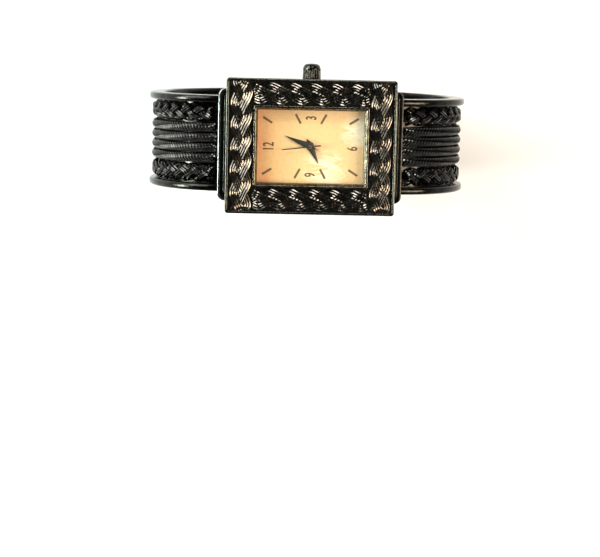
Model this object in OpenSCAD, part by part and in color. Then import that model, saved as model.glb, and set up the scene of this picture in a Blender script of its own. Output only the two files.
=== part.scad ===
// Rectangular cuff watch with a wire-braided bezel and two spring-hinged cuff arms.
//
// Axes: X runs from 12 to 6 o'clock, Y from 9 to 3 o'clock, where the crown is, and Z points
// out of the dial. Each piece is drawn about the axis of the hands, with z = 0 at the top face
// of the bezel, so heights inside the watch are negative. place() then sets the watch on its
// two arm ends, with the middle of its base at the origin.

/* [Bezel] */
// Width of the bezel, from the 12 to the 6 o'clock side
bezel_w = 32.0; // [31:0.1:34]
// Length of the bezel, from the 9 to the 3 o'clock side
bezel_l = 25.4; // [24.4:0.1:27]
// Thickness of the bezel
bezel_h = 2.65; // [2.5:0.05:3.2]
// Radius of the bezel's corners, seen from above
bezel_corner_r = 0.6; // [0.3:0.1:1.2]
// Width of the raised border round the braid
border_w = 0.5; // [0.3:0.05:0.8]
// Width of the raised rim round the window
rim_w = 0.35; // [0.25:0.05:0.6]
// Width of the bevel inside the rim
bevel_w = 0.43; // [0.3:0.01:0.6]
// Drop of the bevel from the rim to the window's lip
bevel_drop = 0.65; // [0.4:0.05:0.8]
// Thickness of the lip under the bevel
lip_t = 0.2; // [0.15:0.05:0.3]
// Depth of the channel that holds the braid
channel_depth = 0.9; // [0.6:0.05:1.1]

/* [Braid] */
// Distance from one chevron to the next along the side braids
side_pitch = 4.2; // [3.4:0.1:5]
// Distance from one chevron to the next along the end braids
end_pitch = 4.0; // [3:0.1:5]
// Slant of the strands from the line of the braid
strand_slant = 34; // [25:1:45]
// Gap between a braid and the walls of its channel
braid_gap = 0.12; // [0.05:0.01:0.3]
// Width of the groove between two strands
strand_groove = 0.56; // [0.2:0.02:0.7]

/* [Window and dial] */
// Width of the visible dial
window_w = 20.0; // [18.5:0.1:21]
// Length of the visible dial
window_l = 13.7; // [12.5:0.1:14.5]
// Thickness of the crystal
crystal_t = 0.7; // [0.5:0.05:0.75]
// How far the crystal reaches under the lip on each side
crystal_lap = 0.25; // [0.15:0.05:0.4]
// Width of the gasket round the crystal
gasket_w = 0.25; // [0.15:0.05:0.4]
// Gap between the visible dial and the ring round it
ring_gap = 0.05; // [0.02:0.01:0.1]
// How far the dial reaches past the window on each side
dial_lap = 0.78; // [0.7:0.02:1.0]
// Thickness of the dial
dial_t = 0.4; // [0.3:0.05:0.45]
// Diameter of the hole in the dial
dial_hole_d = 1.5; // [1.3:0.1:1.8]

/* [Hands] */
// Length of the hour hand, from the axis to the tip
hour_hand_len = 3.75; // [3:0.05:4.5]
// Length of the minute hand, from the axis to the tip
minute_hand_len = 5.4; // [5:0.05:6.3]
// Length of the second hand, from the axis to the tip
second_hand_len = 5.4; // [5:0.05:6.3]
// Greatest width of the hour hand
hour_hand_w = 1.5; // [1.3:0.05:1.9]
// Greatest width of the minute hand
minute_hand_w = 1.15; // [0.9:0.05:1.5]
// Width of the second hand at its axis
second_hand_w = 0.22; // [0.15:0.01:0.35]
// Distance from the axis to the widest place of the hour hand, behind the axis where it is negative
hour_waist = -0.4; // [-0.6:0.05:1]
// Distance from the axis to the widest place of the minute hand
minute_waist = 1.1; // [0:0.05:1.6]
// Length of the pointed tails of the hour and minute hands
hand_tail = 1.6; // [1.2:0.05:2]
// Length of the tail of the second hand
second_tail = 1.95; // [1.5:0.05:2.3]
// Thickness of each hand
hand_t = 0.14; // [0.1:0.01:0.16]
// Clock angle of the hour hand at rest, clockwise from 12
hour_angle = 244; // [0:1:359]
// Clock angle of the minute hand at rest, clockwise from 12
minute_angle = 22; // [0:1:359]
// Clock angle of the second hand at rest, clockwise from 12
second_angle = 352.8; // [0:0.1:359]

/* [Case] */
// Width of the case's flange, which covers the hinges
case_w = 34.9; // [34:0.1:36]
// Length of the case
case_l = 21.2; // [20.6:0.1:22]
// Width of the case's body under the flange
case_body_w = 30.0; // [29.4:0.1:30.6]
// Thickness of the flange
flange_t = 1.6; // [1.3:0.05:1.8]
// Height of the case, from the bezel to the case back
case_h = 4.55; // [4.5:0.05:5]
// Thickness of the case's walls
case_wall = 1.3; // [1.1:0.05:1.5]
// Radius of the flange's corners, seen from above
flange_r = 1.4; // [0.8:0.1:2]
// Radius of the body's corners, seen from above
body_r = 1.0; // [0.6:0.1:1.4]
// Thickness of the case back
back_t = 0.8; // [0.6:0.05:1]
// How far the case back stays inside the case's edge
back_inset = 0.4; // [0.2:0.05:0.8]
// Height of the step that plugs into the case
plug_h = 0.6; // [0.4:0.05:0.65]
// Width of the case back's gasket
back_gasket_w = 0.45; // [0.3:0.05:0.6]

/* [Crown] */
// Diameter of the crown
crown_d = 3.4; // [3:0.05:3.5]
// Length of the crown
crown_len = 3.5; // [2.9:0.05:3.8]
// Height of the crown's domed end
crown_dome = 0.45; // [0.3:0.05:0.7]
// Flutes round the crown
crown_flutes = 24; // [16:1:30]
// Depth of the crown's axis below the top of the bezel
stem_drop = 4.5; // [4.45:0.05:4.6]
// Diameter of the stem
stem_d = 0.9; // [0.8:0.02:0.94]
// Outside diameter of the crown tube
tube_d = 1.7; // [1.6:0.05:1.8]
// Length of the boss on the case round the crown tube
boss_len = 1.3; // [0.9:0.05:1.5]
// Diameter of that boss
boss_d = 2.7; // [2.4:0.05:3]
// Gap between the pushed-in crown and the boss
crown_gap = 0.15; // [0.1:0.01:0.3]
// Travel of the crown when it is pulled out to set the hands
crown_travel = 0.8; // [0.6:0.05:0.85]

/* [Cuff] */
// Width of the cuff, outside
cuff_w = 62.2; // [60:0.1:66]
// Outside radius of the shoulder, from the hinge to the widest point
shoulder_r = 15.7; // [14.5:0.1:18]
// Outside radius of the lower arm, from the widest point to the end
lower_r = 29.0; // [26:0.1:32]
// Gap between the two arm ends, outside
end_gap = 20.0; // [16:0.5:26]
// Width of the band
band_w = 18.2; // [17.4:0.1:18.8]
// Thickness of an arm at its rails
arm_t = 2.75; // [2.6:0.05:2.9]
// Width of each edge rail
rail_w = 1.4; // [1.2:0.05:1.6]
// Thickness of the arm's floor under the ropes
floor_t = 0.7; // [0.5:0.05:0.9]
// How far the ropes and braids lie below the rails
rope_drop = 0.5; // [0.3:0.05:0.7]
// Ropes along the middle of the band
rope_count = 4; // [3:1:5]
// Width that the ropes share
rope_field_w = 7.7; // [7.2:0.1:8.2]
// Gap between two neighbouring ropes, braids or rails
rope_gap = 0.04; // [0.02:0.01:0.1]
// Gap under the ropes and braids
rope_lift = 0.06; // [0.05:0.01:0.15]
// Distance from one chevron to the next along the plaits of an arm
plait_pitch = 2.8; // [2.4:0.1:3.6]
// Depth of the grooves between the strands of those plaits
plait_groove = 0.62; // [0.3:0.02:0.8]
// Corner radius of an arm's end, seen along the arm's thickness
end_corner_r = 2.2; // [1:0.1:4]

/* [Hinges] */
// Diameter of a hinge pin
pin_d = 1.0; // [0.8:0.05:1.1]
// Gap between the case's wall and the round end of an arm
hinge_gap = 0.125; // [0.1:0.025:0.3]
// Room between the flange and an arm, for the arm to swing open
swing_gap = 0.83; // [0.8:0.01:1]
// Length of each lug of the case along the pin
lug_l = 2.4; // [2:0.1:2.6]
// Distance from the middle of the band to the near side of a lug
lug_y = 5.0; // [4.8:0.05:5.1]
// Length of each knuckle of an arm along the pin
knuckle_l = 2.2; // [1.8:0.1:2.3]
// Gap between a lug and a knuckle or a rail
knuckle_gap = 0.15; // [0.1:0.01:0.25]
// Running clearance round a pin, on the radius
run_gap = 0.03; // [0.02:0.005:0.04]
// Gap round the lugs and the spring where the arm's floor is cut away
relief_gap = 0.05; // [0.04:0.01:0.25]
// Diameter of the hinge spring's wire
spring_wire = 0.3; // [0.2:0.02:0.34]
// Turns of the hinge spring
spring_turns = 5; // [4:1:5]

/* [Movement] */
// Width of the movement, from 12 to 6 o'clock
movement_w = 17.8; // [17.6:0.1:18]
// Least length of the movement, from 9 to 3 o'clock. A longer dial makes it longer
movement_l = 15.3; // [15.3:0.05:15.5]
// Gap between the movement and its holder
holder_gap = 0.1; // [0.05:0.01:0.15]
// Gap between the holder and the case
cavity_gap = 0.05; // [0.03:0.01:0.1]
// Thickness of the main plate
plate_t = 0.9; // [0.85:0.01:0.95]
// Diameter of the battery
battery_d = 6.8; // [6.6:0.05:6.85]
// Thickness of the battery
battery_t = 2.6; // [2.5:0.05:2.65]
// Diameter of the centre tube, which carries the minute hand
centre_d = 0.7; // [0.66:0.01:0.74]
// Diameter of the hour wheel's pipe
hour_pipe_d = 1.1; // [1.06:0.01:1.2]
// Diameter of the second hand's arbor
second_arbor_d = 0.2; // [0.16:0.01:0.22]
// Diameter of the arbors of the other wheels
arbor_d = 0.24; // [0.2:0.01:0.28]
// Thickness of each wheel of the train
wheel_t = 0.12; // [0.1:0.01:0.14]
// Height of each pinion of the train
pinion_h = 0.22; // [0.18:0.01:0.24]

/* [Hidden] */
$fn = 48;

// Depths below the top of the bezel, from the top down
lip_z = -(bevel_drop + lip_t);
crystal_z = lip_z - crystal_t;
dial_z = -bezel_h;
dial_back_z = dial_z - dial_t;
flange_z = -(bezel_h + flange_t);
case_z = -(bezel_h + case_h);
back_z = case_z - back_t;
plug_z = case_z + plug_h;
stem_z = -stem_drop;

// Plan sizes of the window, the crystal and the dial
rim_in_w = window_w + 2 * bevel_w;
rim_in_l = window_l + 2 * bevel_w;
rim_out_w = rim_in_w + 2 * rim_w;
rim_out_l = rim_in_l + 2 * rim_w;
crystal_w = window_w + 2 * crystal_lap;
crystal_l = window_l + 2 * crystal_lap;
pocket_w = crystal_w + 2 * gasket_w;
pocket_l = crystal_l + 2 * gasket_w;
dial_w = window_w + 2 * dial_lap;
dial_l = window_l + 2 * dial_lap;
glass_r = 0.3;
cut = 0.5;

// Plan sizes of the case and its holder
cavity_w = case_body_w - 2 * case_wall;
cavity_l = case_l - 2 * case_wall;
cavity_r = 0.6;
holder_w = cavity_w - 2 * cavity_gap;
holder_l = cavity_l - 2 * cavity_gap;
plate_lap = 0.02;
plate_l = max(movement_l, dial_l + 2 * plate_lap);
back_w = case_body_w - 2 * back_inset;
back_l = case_l - 2 * back_inset;

// The channel of the bezel and the braid in it
channel_w = bezel_w - 2 * border_w;
channel_l = bezel_l - 2 * border_w;
side_field = (channel_w - rim_out_w) / 2;
end_field = (channel_l - rim_out_l) / 2;
braid_proud = 0.05;
braid_h = channel_depth - braid_proud;

// Crown parts along Y
crown_y = case_l / 2 + boss_len + crown_gap;
crown_tip_y = crown_y + crown_len;
flute_start = 0.4;
crown_end_t = 0.4;
tube_reach = 1.05;
tube_end_y = crown_y + tube_reach;
recess_gap = 0.3;
recess_y = tube_end_y + recess_gap;
stem_end_y = crown_tip_y - crown_dome - crown_end_t;
seal_at = 0.5;
seal_r = 0.17;
seal_gap = 0.02;
recess_r = tube_d / 2 + 2 * (seal_r + seal_gap);
tube_gap = 0.05;
stem_room = 0.4;
stem_hole_r = stem_d / 2 + stem_room;
tube_bore_r = stem_d / 2 + tube_gap;

// The stem inside the movement, from the movement's edge inwards
groove_in = 1.45;
groove_w = 0.5;
groove_r = 0.25;
neck_l = 0.45;
pinion_l = 0.8;
pinion_end_gap = 0.15;
tip_l = 0.55;
square_w = 0.5;
square_gap = 0.03;
groove_y = plate_l / 2 - groove_in;
square_end_y = groove_y - neck_l;
pinion_y = square_end_y - pinion_end_gap - pinion_l;
stem_tip_y = pinion_y - tip_l;
lever_arm_x = 2.2;
lever_pivot = [-lever_arm_x, groove_y + crown_travel / 2];
lever_rise = 0.55;
lever_z = stem_z + lever_rise;
lever_t = 0.2;
lever_w = 0.7;
lever_post_r = 0.3;
lever_room = [1.0, 1.2, 1.9];

// Cuff: the shoulder arc and the lower arc meet at the widest point
arm_r = arm_t / 2;
hinge_x = case_body_w / 2 + hinge_gap + arm_r;
hinge_z = flange_z - swing_gap - arm_r;
shoulder_x = cuff_w / 2 - shoulder_r;
hinge_turn = acos((hinge_x - shoulder_x) / (shoulder_r - arm_r));
cuff_z = hinge_z - (shoulder_r - arm_r) * sin(hinge_turn);
lower_x = cuff_w / 2 - lower_r;
end_turn = acos((end_gap / 2 - lower_x) / lower_r);
cuff_h = lower_r * sin(end_turn) - cuff_z;
bar_turn = rail_w / lower_r * 180 / PI;
rope_start = hinge_turn - (arm_r + relief_gap + rope_gap) / (shoulder_r - arm_r) * 180 / PI;
field_w = band_w - 2 * rail_w;
rope_pitch = rope_field_w / rope_count;
plait_w = (field_w - rope_field_w) / 2;
plait_y = (rope_field_w + plait_w) / 2;
floor_depth = arm_t - floor_t;
lug_step = 0.1;
lug_r = arm_r - lug_step;
web_root = 0.3;
web_w = hinge_x - case_body_w / 2 + web_root;
knuckle_y = lug_y - knuckle_gap - knuckle_l;
rail_in_y = band_w / 2 - rail_w;
pin_r = pin_d / 2;
pin_inset = 0.2;
pin_l = band_w - 2 * pin_inset;

// Heights of the plates and wheels of the movement
plate_drop = 0.35;
plate_z = dial_back_z - plate_drop;
plate_back_z = plate_z - plate_t;
works_drop = 0.45;
works_z = plate_z - works_drop;
hour_drop = 0.07;
hour_z = dial_back_z - hour_drop;
hour_wheel_t = 0.18;
mesh_lap = 0.05;
minute_wheel_rise = 0.17;
minute_wheel_z = works_z + minute_wheel_rise;
minute_pinion_drop = 0.05;
minute_pinion_top = dial_back_z - minute_pinion_drop;
centre_drop = 0.15;
centre_wheel_z = plate_back_z - centre_drop;
third_drop = 0.5;
third_wheel_z = plate_back_z - third_drop;
fourth_drop = 0.8;
fourth_wheel_z = plate_back_z - fourth_drop;
fifth_drop = 1.06;
fifth_wheel_z = plate_back_z - fifth_drop;
bridge_drop = 1.32;
bridge_z = plate_back_z - bridge_drop;
bridge_t = 0.33;
bridge_edge = 0.75;
pivot_depth = 0.18;
arbor_top = plate_back_z + pivot_depth;
arbor_past = 0.2;
arbor_end = bridge_z - arbor_past;
pivot_gap = 0.03;
pivot_end_gap = 0.03;
works_room = 0.15;
cannon_room_r = 1.0;
plate_r = 0.8;
post_r = 0.4;
slot_w = 2.0;
slot_gap = 0.1;
slot_y = stem_tip_y - slot_gap;
bearing_l = 0.35;
bearing_h = 0.7;
arbor_r = arbor_d / 2;

// Hands stand one above the other over the dial
hour_hand_lift = 0.29;
minute_hand_lift = 0.6;
second_hand_lift = 0.83;
hour_hand_z = dial_z + hour_hand_lift;
minute_hand_z = dial_z + minute_hand_lift;
second_hand_z = dial_z + second_hand_lift;
hand_collar_r = 0.15;

// Teeth of the wheels and pinions
cannon_n = 12;
minute_n = 36;
minute_pinion_n = 10;
hour_n = 40;
centre_n = 64;
third_pinion_n = 8;
third_n = 60;
fourth_pinion_n = 8;
fourth_n = 40;
fifth_pinion_n = 8;
fifth_n = 36;
rotor_n = 6;
slide_n = 16;
slide_m = 0.0875;

// Distances and directions between the axes of the train
works_a = 2.5;
works_turn = 90;
third_a = 2.3;
third_turn = 60;
fifth_a = 2.4;
fifth_turn = 170;
rotor_a = 1.89;
rotor_turn = 200;
works_at = polar(works_a, works_turn);
third_at = polar(third_a, third_turn);
fifth_at = polar(fifth_a, fifth_turn);
rotor_at = fifth_at + polar(rotor_a, rotor_turn);

// The turn at which each wheel meets the one before it, tooth in gap
minute_phase = mesh_turn(works_turn, 0, cannon_n, minute_n);
hour_phase = mesh_turn(works_turn + 180, 0, minute_pinion_n, hour_n);
third_phase = mesh_turn(third_turn, 0, centre_n, third_pinion_n);
fourth_phase = mesh_turn(third_turn + 180, 0, third_n, fourth_pinion_n);
fifth_phase = mesh_turn(fifth_turn, 0, fourth_n, fifth_pinion_n);
rotor_phase = mesh_turn(rotor_turn, 0, fifth_n, rotor_n);

// Places of the electrical parts and the pillars, from the axis of the hands
battery_side = 0.4;
battery_end = 0.35;
battery_at = [movement_w / 2 - battery_d / 2 - battery_side, battery_end + battery_d / 2 - plate_l / 2];
battery_drop = 0.1;
battery_z = plate_z - battery_drop;
battery_gap = 0.08;
battery_step = 0.3;
battery_ledge = 0.6;
pillars = [[0.6, -3.0], [-3.9, 3.0], [3.9, 3.6]];
pillar_r = 0.6;
screw_r = 0.3;
screw_head_r = 0.55;
screw_head_h = 0.25;
screw_len = 0.7;
slot_t = 0.16;
magnet_r = 0.6;
magnet_h = 0.5;
stator_hole_r = 0.8;
stator_drop = 0.25;
stator_z = plate_back_z - stator_drop;
stator_t = 0.4;
leg_w = 1.2;
leg_gap = 0.2;
leg_past = 0.9;
core_t = 0.2;
core_w = 1.2;
coil_l = 6.0;
coil_r = 0.7;
coil_side = 2.1;
coil_in = 1.75;
coil_x0 = coil_side - movement_w / 2;
coil_x1 = coil_x0 + coil_l;
coil_y = coil_in - plate_l / 2;
board_drop = 0.7;
board_z = plate_back_z - board_drop;
board_t = 0.2;
board_w = 2.4;
board_side = 3.1;
board_end = 0.4;
board_battery_gap = 0.75;
board_x = movement_w / 2 - board_side;
board_y0 = battery_at[1] + battery_d / 2 + board_battery_gap;
board_y1 = plate_l / 2 - board_end;
board_y = (board_y0 + board_y1) / 2;
board_l = board_y1 - board_y0;
can_r = 0.5;
can_l = 5.0;
can_side = 1.0;
can_shift = 0.25;
can_at = [movement_w / 2 - can_side, board_y - can_shift];
foot_in = 3.03;
foot_side = 1.0;
foot_at = [movement_w / 2 - foot_side, dial_l / 2 - foot_in];
foot_r = 0.35;
foot_l = 0.9;
clamp_t = 0.15;
clamp_w = 1.4;

// The watch is centred over its base: the crown stands out on one side only
lift_y = -(crown_tip_y - bezel_l / 2) / 2;

function polar(r, turn) = [r * cos(turn), r * sin(turn)];

// Turn of a wheel with n_b teeth, in direction turn_ab from one with n_a teeth turned by turn_a
function mesh_turn(turn_ab, turn_a, n_a, n_b) =
    turn_ab + 180 - (0.5 - (turn_ab - turn_a) * n_a / 360) * 360 / n_b;

// Clock angles run clockwise from 12 o'clock, which lies towards -X
function clock_turn(angle) = 180 - angle;

// Outline of a toothed wheel with straight-flanked teeth
function tooth_points(n, m, turn) = [
    for (i = [0:n - 1])
        for (corner = [[-1.15, -0.31], [0.75, -0.16], [0.75, 0.16], [-1.15, 0.31]])
            polar(m * (n / 2 + corner[0]), turn + (i + corner[1]) * 360 / n)
];

module place() {
    translate([0, lift_y, cuff_h]) children();
}

module rounded(w, l, r) {
    square([w - 2 * r, l], center = true);
    square([w, l - 2 * r], center = true);
    for (sx = [-1, 1])
        for (sy = [-1, 1])
            translate([sx * (w / 2 - r), sy * (l / 2 - r)]) circle(r);
}

// A rounded plate between two heights
module slab(w, l, r, z_low, z_high) {
    translate([0, 0, z_low]) linear_extrude(z_high - z_low) rounded(w, l, r);
}

// A rounded frame between two heights
module frame_slab(w, l, r, hole_w, hole_l, hole_r, z_low, z_high) {
    translate([0, 0, z_low]) linear_extrude(z_high - z_low) difference() {
        rounded(w, l, r);
        rounded(hole_w, hole_l, hole_r);
    }
}

module rod(r, z_low, z_high) {
    translate([0, 0, z_low]) cylinder(h = z_high - z_low, r = r);
}

module y_rod(r, y0, y1) {
    translate([0, y0, 0]) rotate([-90, 0, 0]) cylinder(h = y1 - y0, r = r);
}

// A block whose four sides slope from one rectangle to another
module sloped_block(w_low, l_low, z_low, w_high, l_high, z_high) {
    long = 2 * max(w_high, l_high, w_low, l_low);
    intersection() {
        rotate([90, 0, 0]) linear_extrude(long, center = true)
            polygon([[-w_low / 2, z_low], [w_low / 2, z_low], [w_high / 2, z_high], [-w_high / 2, z_high]]);
        rotate([90, 0, 90]) linear_extrude(long, center = true)
            polygon([[-l_low / 2, z_low], [l_low / 2, z_low], [l_high / 2, z_high], [-l_high / 2, z_high]]);
    }
}

// A toothed wheel or pinion, with a plain bore where r_bore is more than nothing
module toothed(n, m, turn, z_low, height, r_bore) {
    translate([0, 0, z_low]) linear_extrude(height) difference() {
        polygon(tooth_points(n, m, turn));
        if (r_bore > 0) circle(r_bore);
    }
}

// Bezel and what it holds

module bezel() {
    color([0.16, 0.15, 0.15]) place() difference() {
        slab(bezel_w, bezel_l, bezel_corner_r, -bezel_h, 0);
        frame_slab(channel_w, channel_l, bezel_corner_r / 2, rim_out_w, rim_out_l, glass_r,
            -channel_depth, cut);
        sloped_block(window_w, window_l, -bevel_drop, rim_in_w, rim_in_l, 0);
        slab(window_w, window_l, glass_r / 2, lip_z - cut, -bevel_drop + 0.001);
        slab(pocket_w, pocket_l, glass_r, -bezel_h - cut, lip_z);
    }
}

// A plaited length along X: two rows of slanted strands on a thin base meet in chevrons
module braid_bar(length, width, height, pitch) {
    hump_w = width / 2;
    hump_r = (height * height + hump_w * hump_w / 4) / (2 * height);
    rows = ceil(length / pitch / 2) + 1;
    base_h = 0.3 * height;
    difference() {
        union() {
            translate([-length / 2, -width / 2, 0]) cube([length, width, base_h]);
            for (side = [-1, 1])
                translate([0, side * hump_w / 2, 0]) rotate([90, 0, 90]) linear_extrude(length, center = true)
                    intersection() {
                        translate([0, height - hump_r]) circle(hump_r);
                        translate([-hump_w / 2, 0]) square([hump_w, height]);
                    }
        }
        for (side = [-1, 1])
            for (i = [-rows:rows])
                translate([(i + side / 4) * pitch, side * hump_w / 2, height])
                    rotate([0, 0, side * strand_slant]) rotate([45, 0, 0])
                        cube([hump_w / sin(strand_slant), strand_groove, strand_groove], center = true);
    }
}

module side_braid(side) {
    color([0.2, 0.19, 0.18]) place()
        translate([side * (rim_out_w + side_field) / 2, 0, -channel_depth]) rotate([0, 0, 90])
            braid_bar(channel_l - 2 * braid_gap, side_field - 2 * braid_gap, braid_h, side_pitch);
}

module end_braid(side) {
    color([0.2, 0.18, 0.17]) place()
        translate([0, side * (rim_out_l + end_field) / 2, -channel_depth])
            braid_bar(rim_out_w - 2 * braid_gap, end_field - 2 * braid_gap, braid_h, end_pitch);
}

module crystal() {
    color([0.85, 0.92, 0.95, 0.3]) place() slab(crystal_w, crystal_l, glass_r, crystal_z, lip_z);
}

module crystal_gasket() {
    color([0.1, 0.1, 0.1]) place()
        frame_slab(pocket_w, pocket_l, glass_r, crystal_w, crystal_l, glass_r, crystal_z, lip_z);
}

module dial_ring() {
    color([0.2, 0.2, 0.2]) place()
        frame_slab(pocket_w, pocket_l, glass_r, window_w + 2 * ring_gap, window_l + 2 * ring_gap, glass_r / 2,
            dial_z, crystal_z);
}

module dial() {
    color([0.93, 0.83, 0.6]) place() {
        difference() {
            slab(dial_w, dial_l, glass_r, dial_back_z, dial_z);
            rod(dial_hole_d / 2, dial_back_z - cut, dial_z + cut);
        }
        for (side = [-1, 1])
            translate([side * foot_at[0], side * foot_at[1], 0])
                rod(foot_r, dial_back_z - foot_l, dial_back_z);
    }
}

// Hands

// A kite-shaped hand with both ends pointed, along +X before it is turned
module kite_hand(length, waist, width, z, bore_r) {
    translate([0, 0, z]) linear_extrude(hand_t) difference() {
        union() {
            polygon([[length, 0], [waist, width / 2], [-hand_tail, 0], [waist, -width / 2]]);
            circle(bore_r + hand_collar_r);
        }
        circle(bore_r);
    }
}

module hour_hand() {
    color([0.2, 0.16, 0.12]) place() rotate([0, 0, clock_turn(hour_angle)])
        kite_hand(hour_hand_len, hour_waist, hour_hand_w, hour_hand_z, hour_pipe_d / 2);
}

module minute_hand() {
    color([0.2, 0.16, 0.12]) place() rotate([0, 0, clock_turn(minute_angle)])
        kite_hand(minute_hand_len, minute_waist, minute_hand_w, minute_hand_z, centre_d / 2);
}

module second_hand() {
    hub_r = second_arbor_d / 2 + hand_collar_r;
    color([0.15, 0.12, 0.1]) place() rotate([0, 0, clock_turn(second_angle)]) difference() {
        union() {
            translate([0, 0, second_hand_z]) linear_extrude(hand_t / 2)
                polygon([[second_hand_len, second_hand_w / 4], [0, second_hand_w / 2],
                    [-second_tail, second_hand_w / 2], [-second_tail, -second_hand_w / 2],
                    [0, -second_hand_w / 2], [second_hand_len, -second_hand_w / 4]]);
            rod(hub_r, second_hand_z - 0.05, second_hand_z + hand_t);
        }
        rod(second_arbor_d / 2, second_hand_z - cut, second_hand_z + cut);
    }
}

// Case

// One lug pair on the side of the case, bored for its hinge pin
module case_lugs(side) {
    for (end = [-1, 1])
        translate([side * hinge_x, end * (lug_y + lug_l / 2), hinge_z]) difference() {
            union() {
                y_rod(lug_r, -lug_l / 2, lug_l / 2);
                translate([side > 0 ? -web_w : 0, -lug_l / 2, case_z - hinge_z + lug_step])
                    cube([web_w, lug_l, hinge_z + lug_r - case_z - lug_step]);
            }
            y_rod(pin_r, -lug_l, lug_l);
        }
}

module mid_case() {
    color([0.22, 0.23, 0.22]) place() difference() {
        union() {
            slab(case_w, case_l, flange_r, flange_z, -bezel_h);
            slab(case_body_w, case_l, body_r, case_z, flange_z);
            translate([0, 0, stem_z]) y_rod(boss_d / 2, case_l / 2 - case_wall / 2, case_l / 2 + boss_len);
            case_lugs(-1);
            case_lugs(1);
        }
        slab(cavity_w, cavity_l, cavity_r, case_z - cut, -bezel_h + cut);
        translate([0, 0, stem_z]) y_rod(tube_d / 2, cavity_l / 2 - cut, crown_y);
    }
}

module case_back() {
    color([0.5, 0.5, 0.48]) place() {
        slab(back_w, back_l, body_r, back_z, case_z);
        slab(holder_w - 2 * back_gasket_w, holder_l - 2 * back_gasket_w, cavity_r / 2, case_z, plug_z);
    }
}

module back_gasket() {
    color([0.1, 0.1, 0.1]) place()
        frame_slab(holder_w, holder_l, cavity_r, holder_w - 2 * back_gasket_w, holder_l - 2 * back_gasket_w,
            cavity_r / 2, case_z, plug_z);
}

// Crown and keyless parts

module crown_tube() {
    color([0.6, 0.6, 0.58]) place() translate([0, 0, stem_z]) difference() {
        y_rod(tube_d / 2, cavity_l / 2, tube_end_y);
        y_rod(tube_bore_r, cavity_l / 2 - cut, tube_end_y + cut);
    }
}

module crown() {
    dome_r = (crown_d * crown_d / 4 + crown_dome * crown_dome) / (2 * crown_dome);
    flute_r = PI * crown_d / crown_flutes * 0.36;
    color([0.12, 0.12, 0.12]) place() translate([0, 0, stem_z]) difference() {
        intersection() {
            y_rod(crown_d / 2, crown_y, crown_tip_y);
            translate([0, crown_tip_y - dome_r, 0]) sphere(dome_r, $fn = 96);
        }
        y_rod(recess_r, crown_y - cut, recess_y);
        y_rod(stem_d / 2, recess_y - cut, stem_end_y);
        for (i = [0:crown_flutes - 1])
            rotate([0, i * 360 / crown_flutes, 0]) translate([crown_d / 2, 0, 0])
                y_rod(flute_r, crown_y + flute_start, crown_tip_y - crown_dome, $fn = 16);
    }
}

module crown_seal() {
    color([0.08, 0.08, 0.08]) place() translate([0, crown_y + seal_at, stem_z]) rotate([-90, 0, 0])
        rotate_extrude() translate([tube_d / 2 + seal_r + seal_gap, 0]) circle(seal_r, $fn = 24);
}

module stem() {
    color([0.7, 0.7, 0.72]) place() translate([0, 0, stem_z]) difference() {
        union() {
            translate([-square_w / 2, stem_tip_y, -square_w / 2])
                cube([square_w, square_end_y - stem_tip_y, square_w]);
            y_rod(stem_d / 2, square_end_y, stem_end_y);
        }
        difference() {
            y_rod(stem_d, groove_y - groove_w / 2, groove_y + groove_w / 2);
            y_rod(groove_r, groove_y - groove_w, groove_y + groove_w);
        }
    }
}

module sliding_pinion() {
    hole_w = square_w + 2 * square_gap;
    color([0.75, 0.72, 0.65]) place() translate([0, pinion_y + pinion_l, stem_z]) rotate([90, 0, 0])
        linear_extrude(pinion_l) difference() {
            polygon(tooth_points(slide_n, slide_m, 0));
            square(hole_w, center = true);
        }
}

module setting_lever() {
    reach = [lever_arm_x, -crown_travel / 2];
    turn = atan2(reach[1], reach[0]);
    nose_r = groove_w / 2 - 0.05;
    color([0.7, 0.7, 0.72]) place() translate([lever_pivot[0], lever_pivot[1], 0]) difference() {
        union() {
            rotate([0, 0, turn]) translate([0, -lever_w / 4, lever_z])
                cube([norm(reach), lever_w / 2, lever_t]);
            rod(lever_w * 0.8, lever_z, lever_z + lever_t);
            translate([reach[0], reach[1], 0]) rod(nose_r, stem_z + groove_r + 0.08, lever_z + lever_t);
        }
        rod(lever_post_r + pivot_gap, lever_z - cut, lever_z + cut);
    }
}

// Movement: plates

module movement_holder() {
    color([0.85, 0.85, 0.82]) place() difference() {
        slab(holder_w, holder_l, cavity_r, plug_z, -bezel_h);
        slab(movement_w + 2 * holder_gap, plate_l + 2 * holder_gap, cavity_r, plug_z - cut, -bezel_h + cut);
        slab(dial_w + 2 * holder_gap, dial_l + 2 * holder_gap, glass_r, dial_back_z, -bezel_h + cut);
        translate([0, 0, stem_z]) y_rod(stem_hole_r, plate_l / 2 - cut, holder_l);
    }
}

// Bores in the main plate for one arbor of the train, from the back
module plate_pivot(at) {
    translate([at[0], at[1], 0]) rod(arbor_r + pivot_gap, plate_back_z - cut, arbor_top + pivot_end_gap);
}

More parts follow.
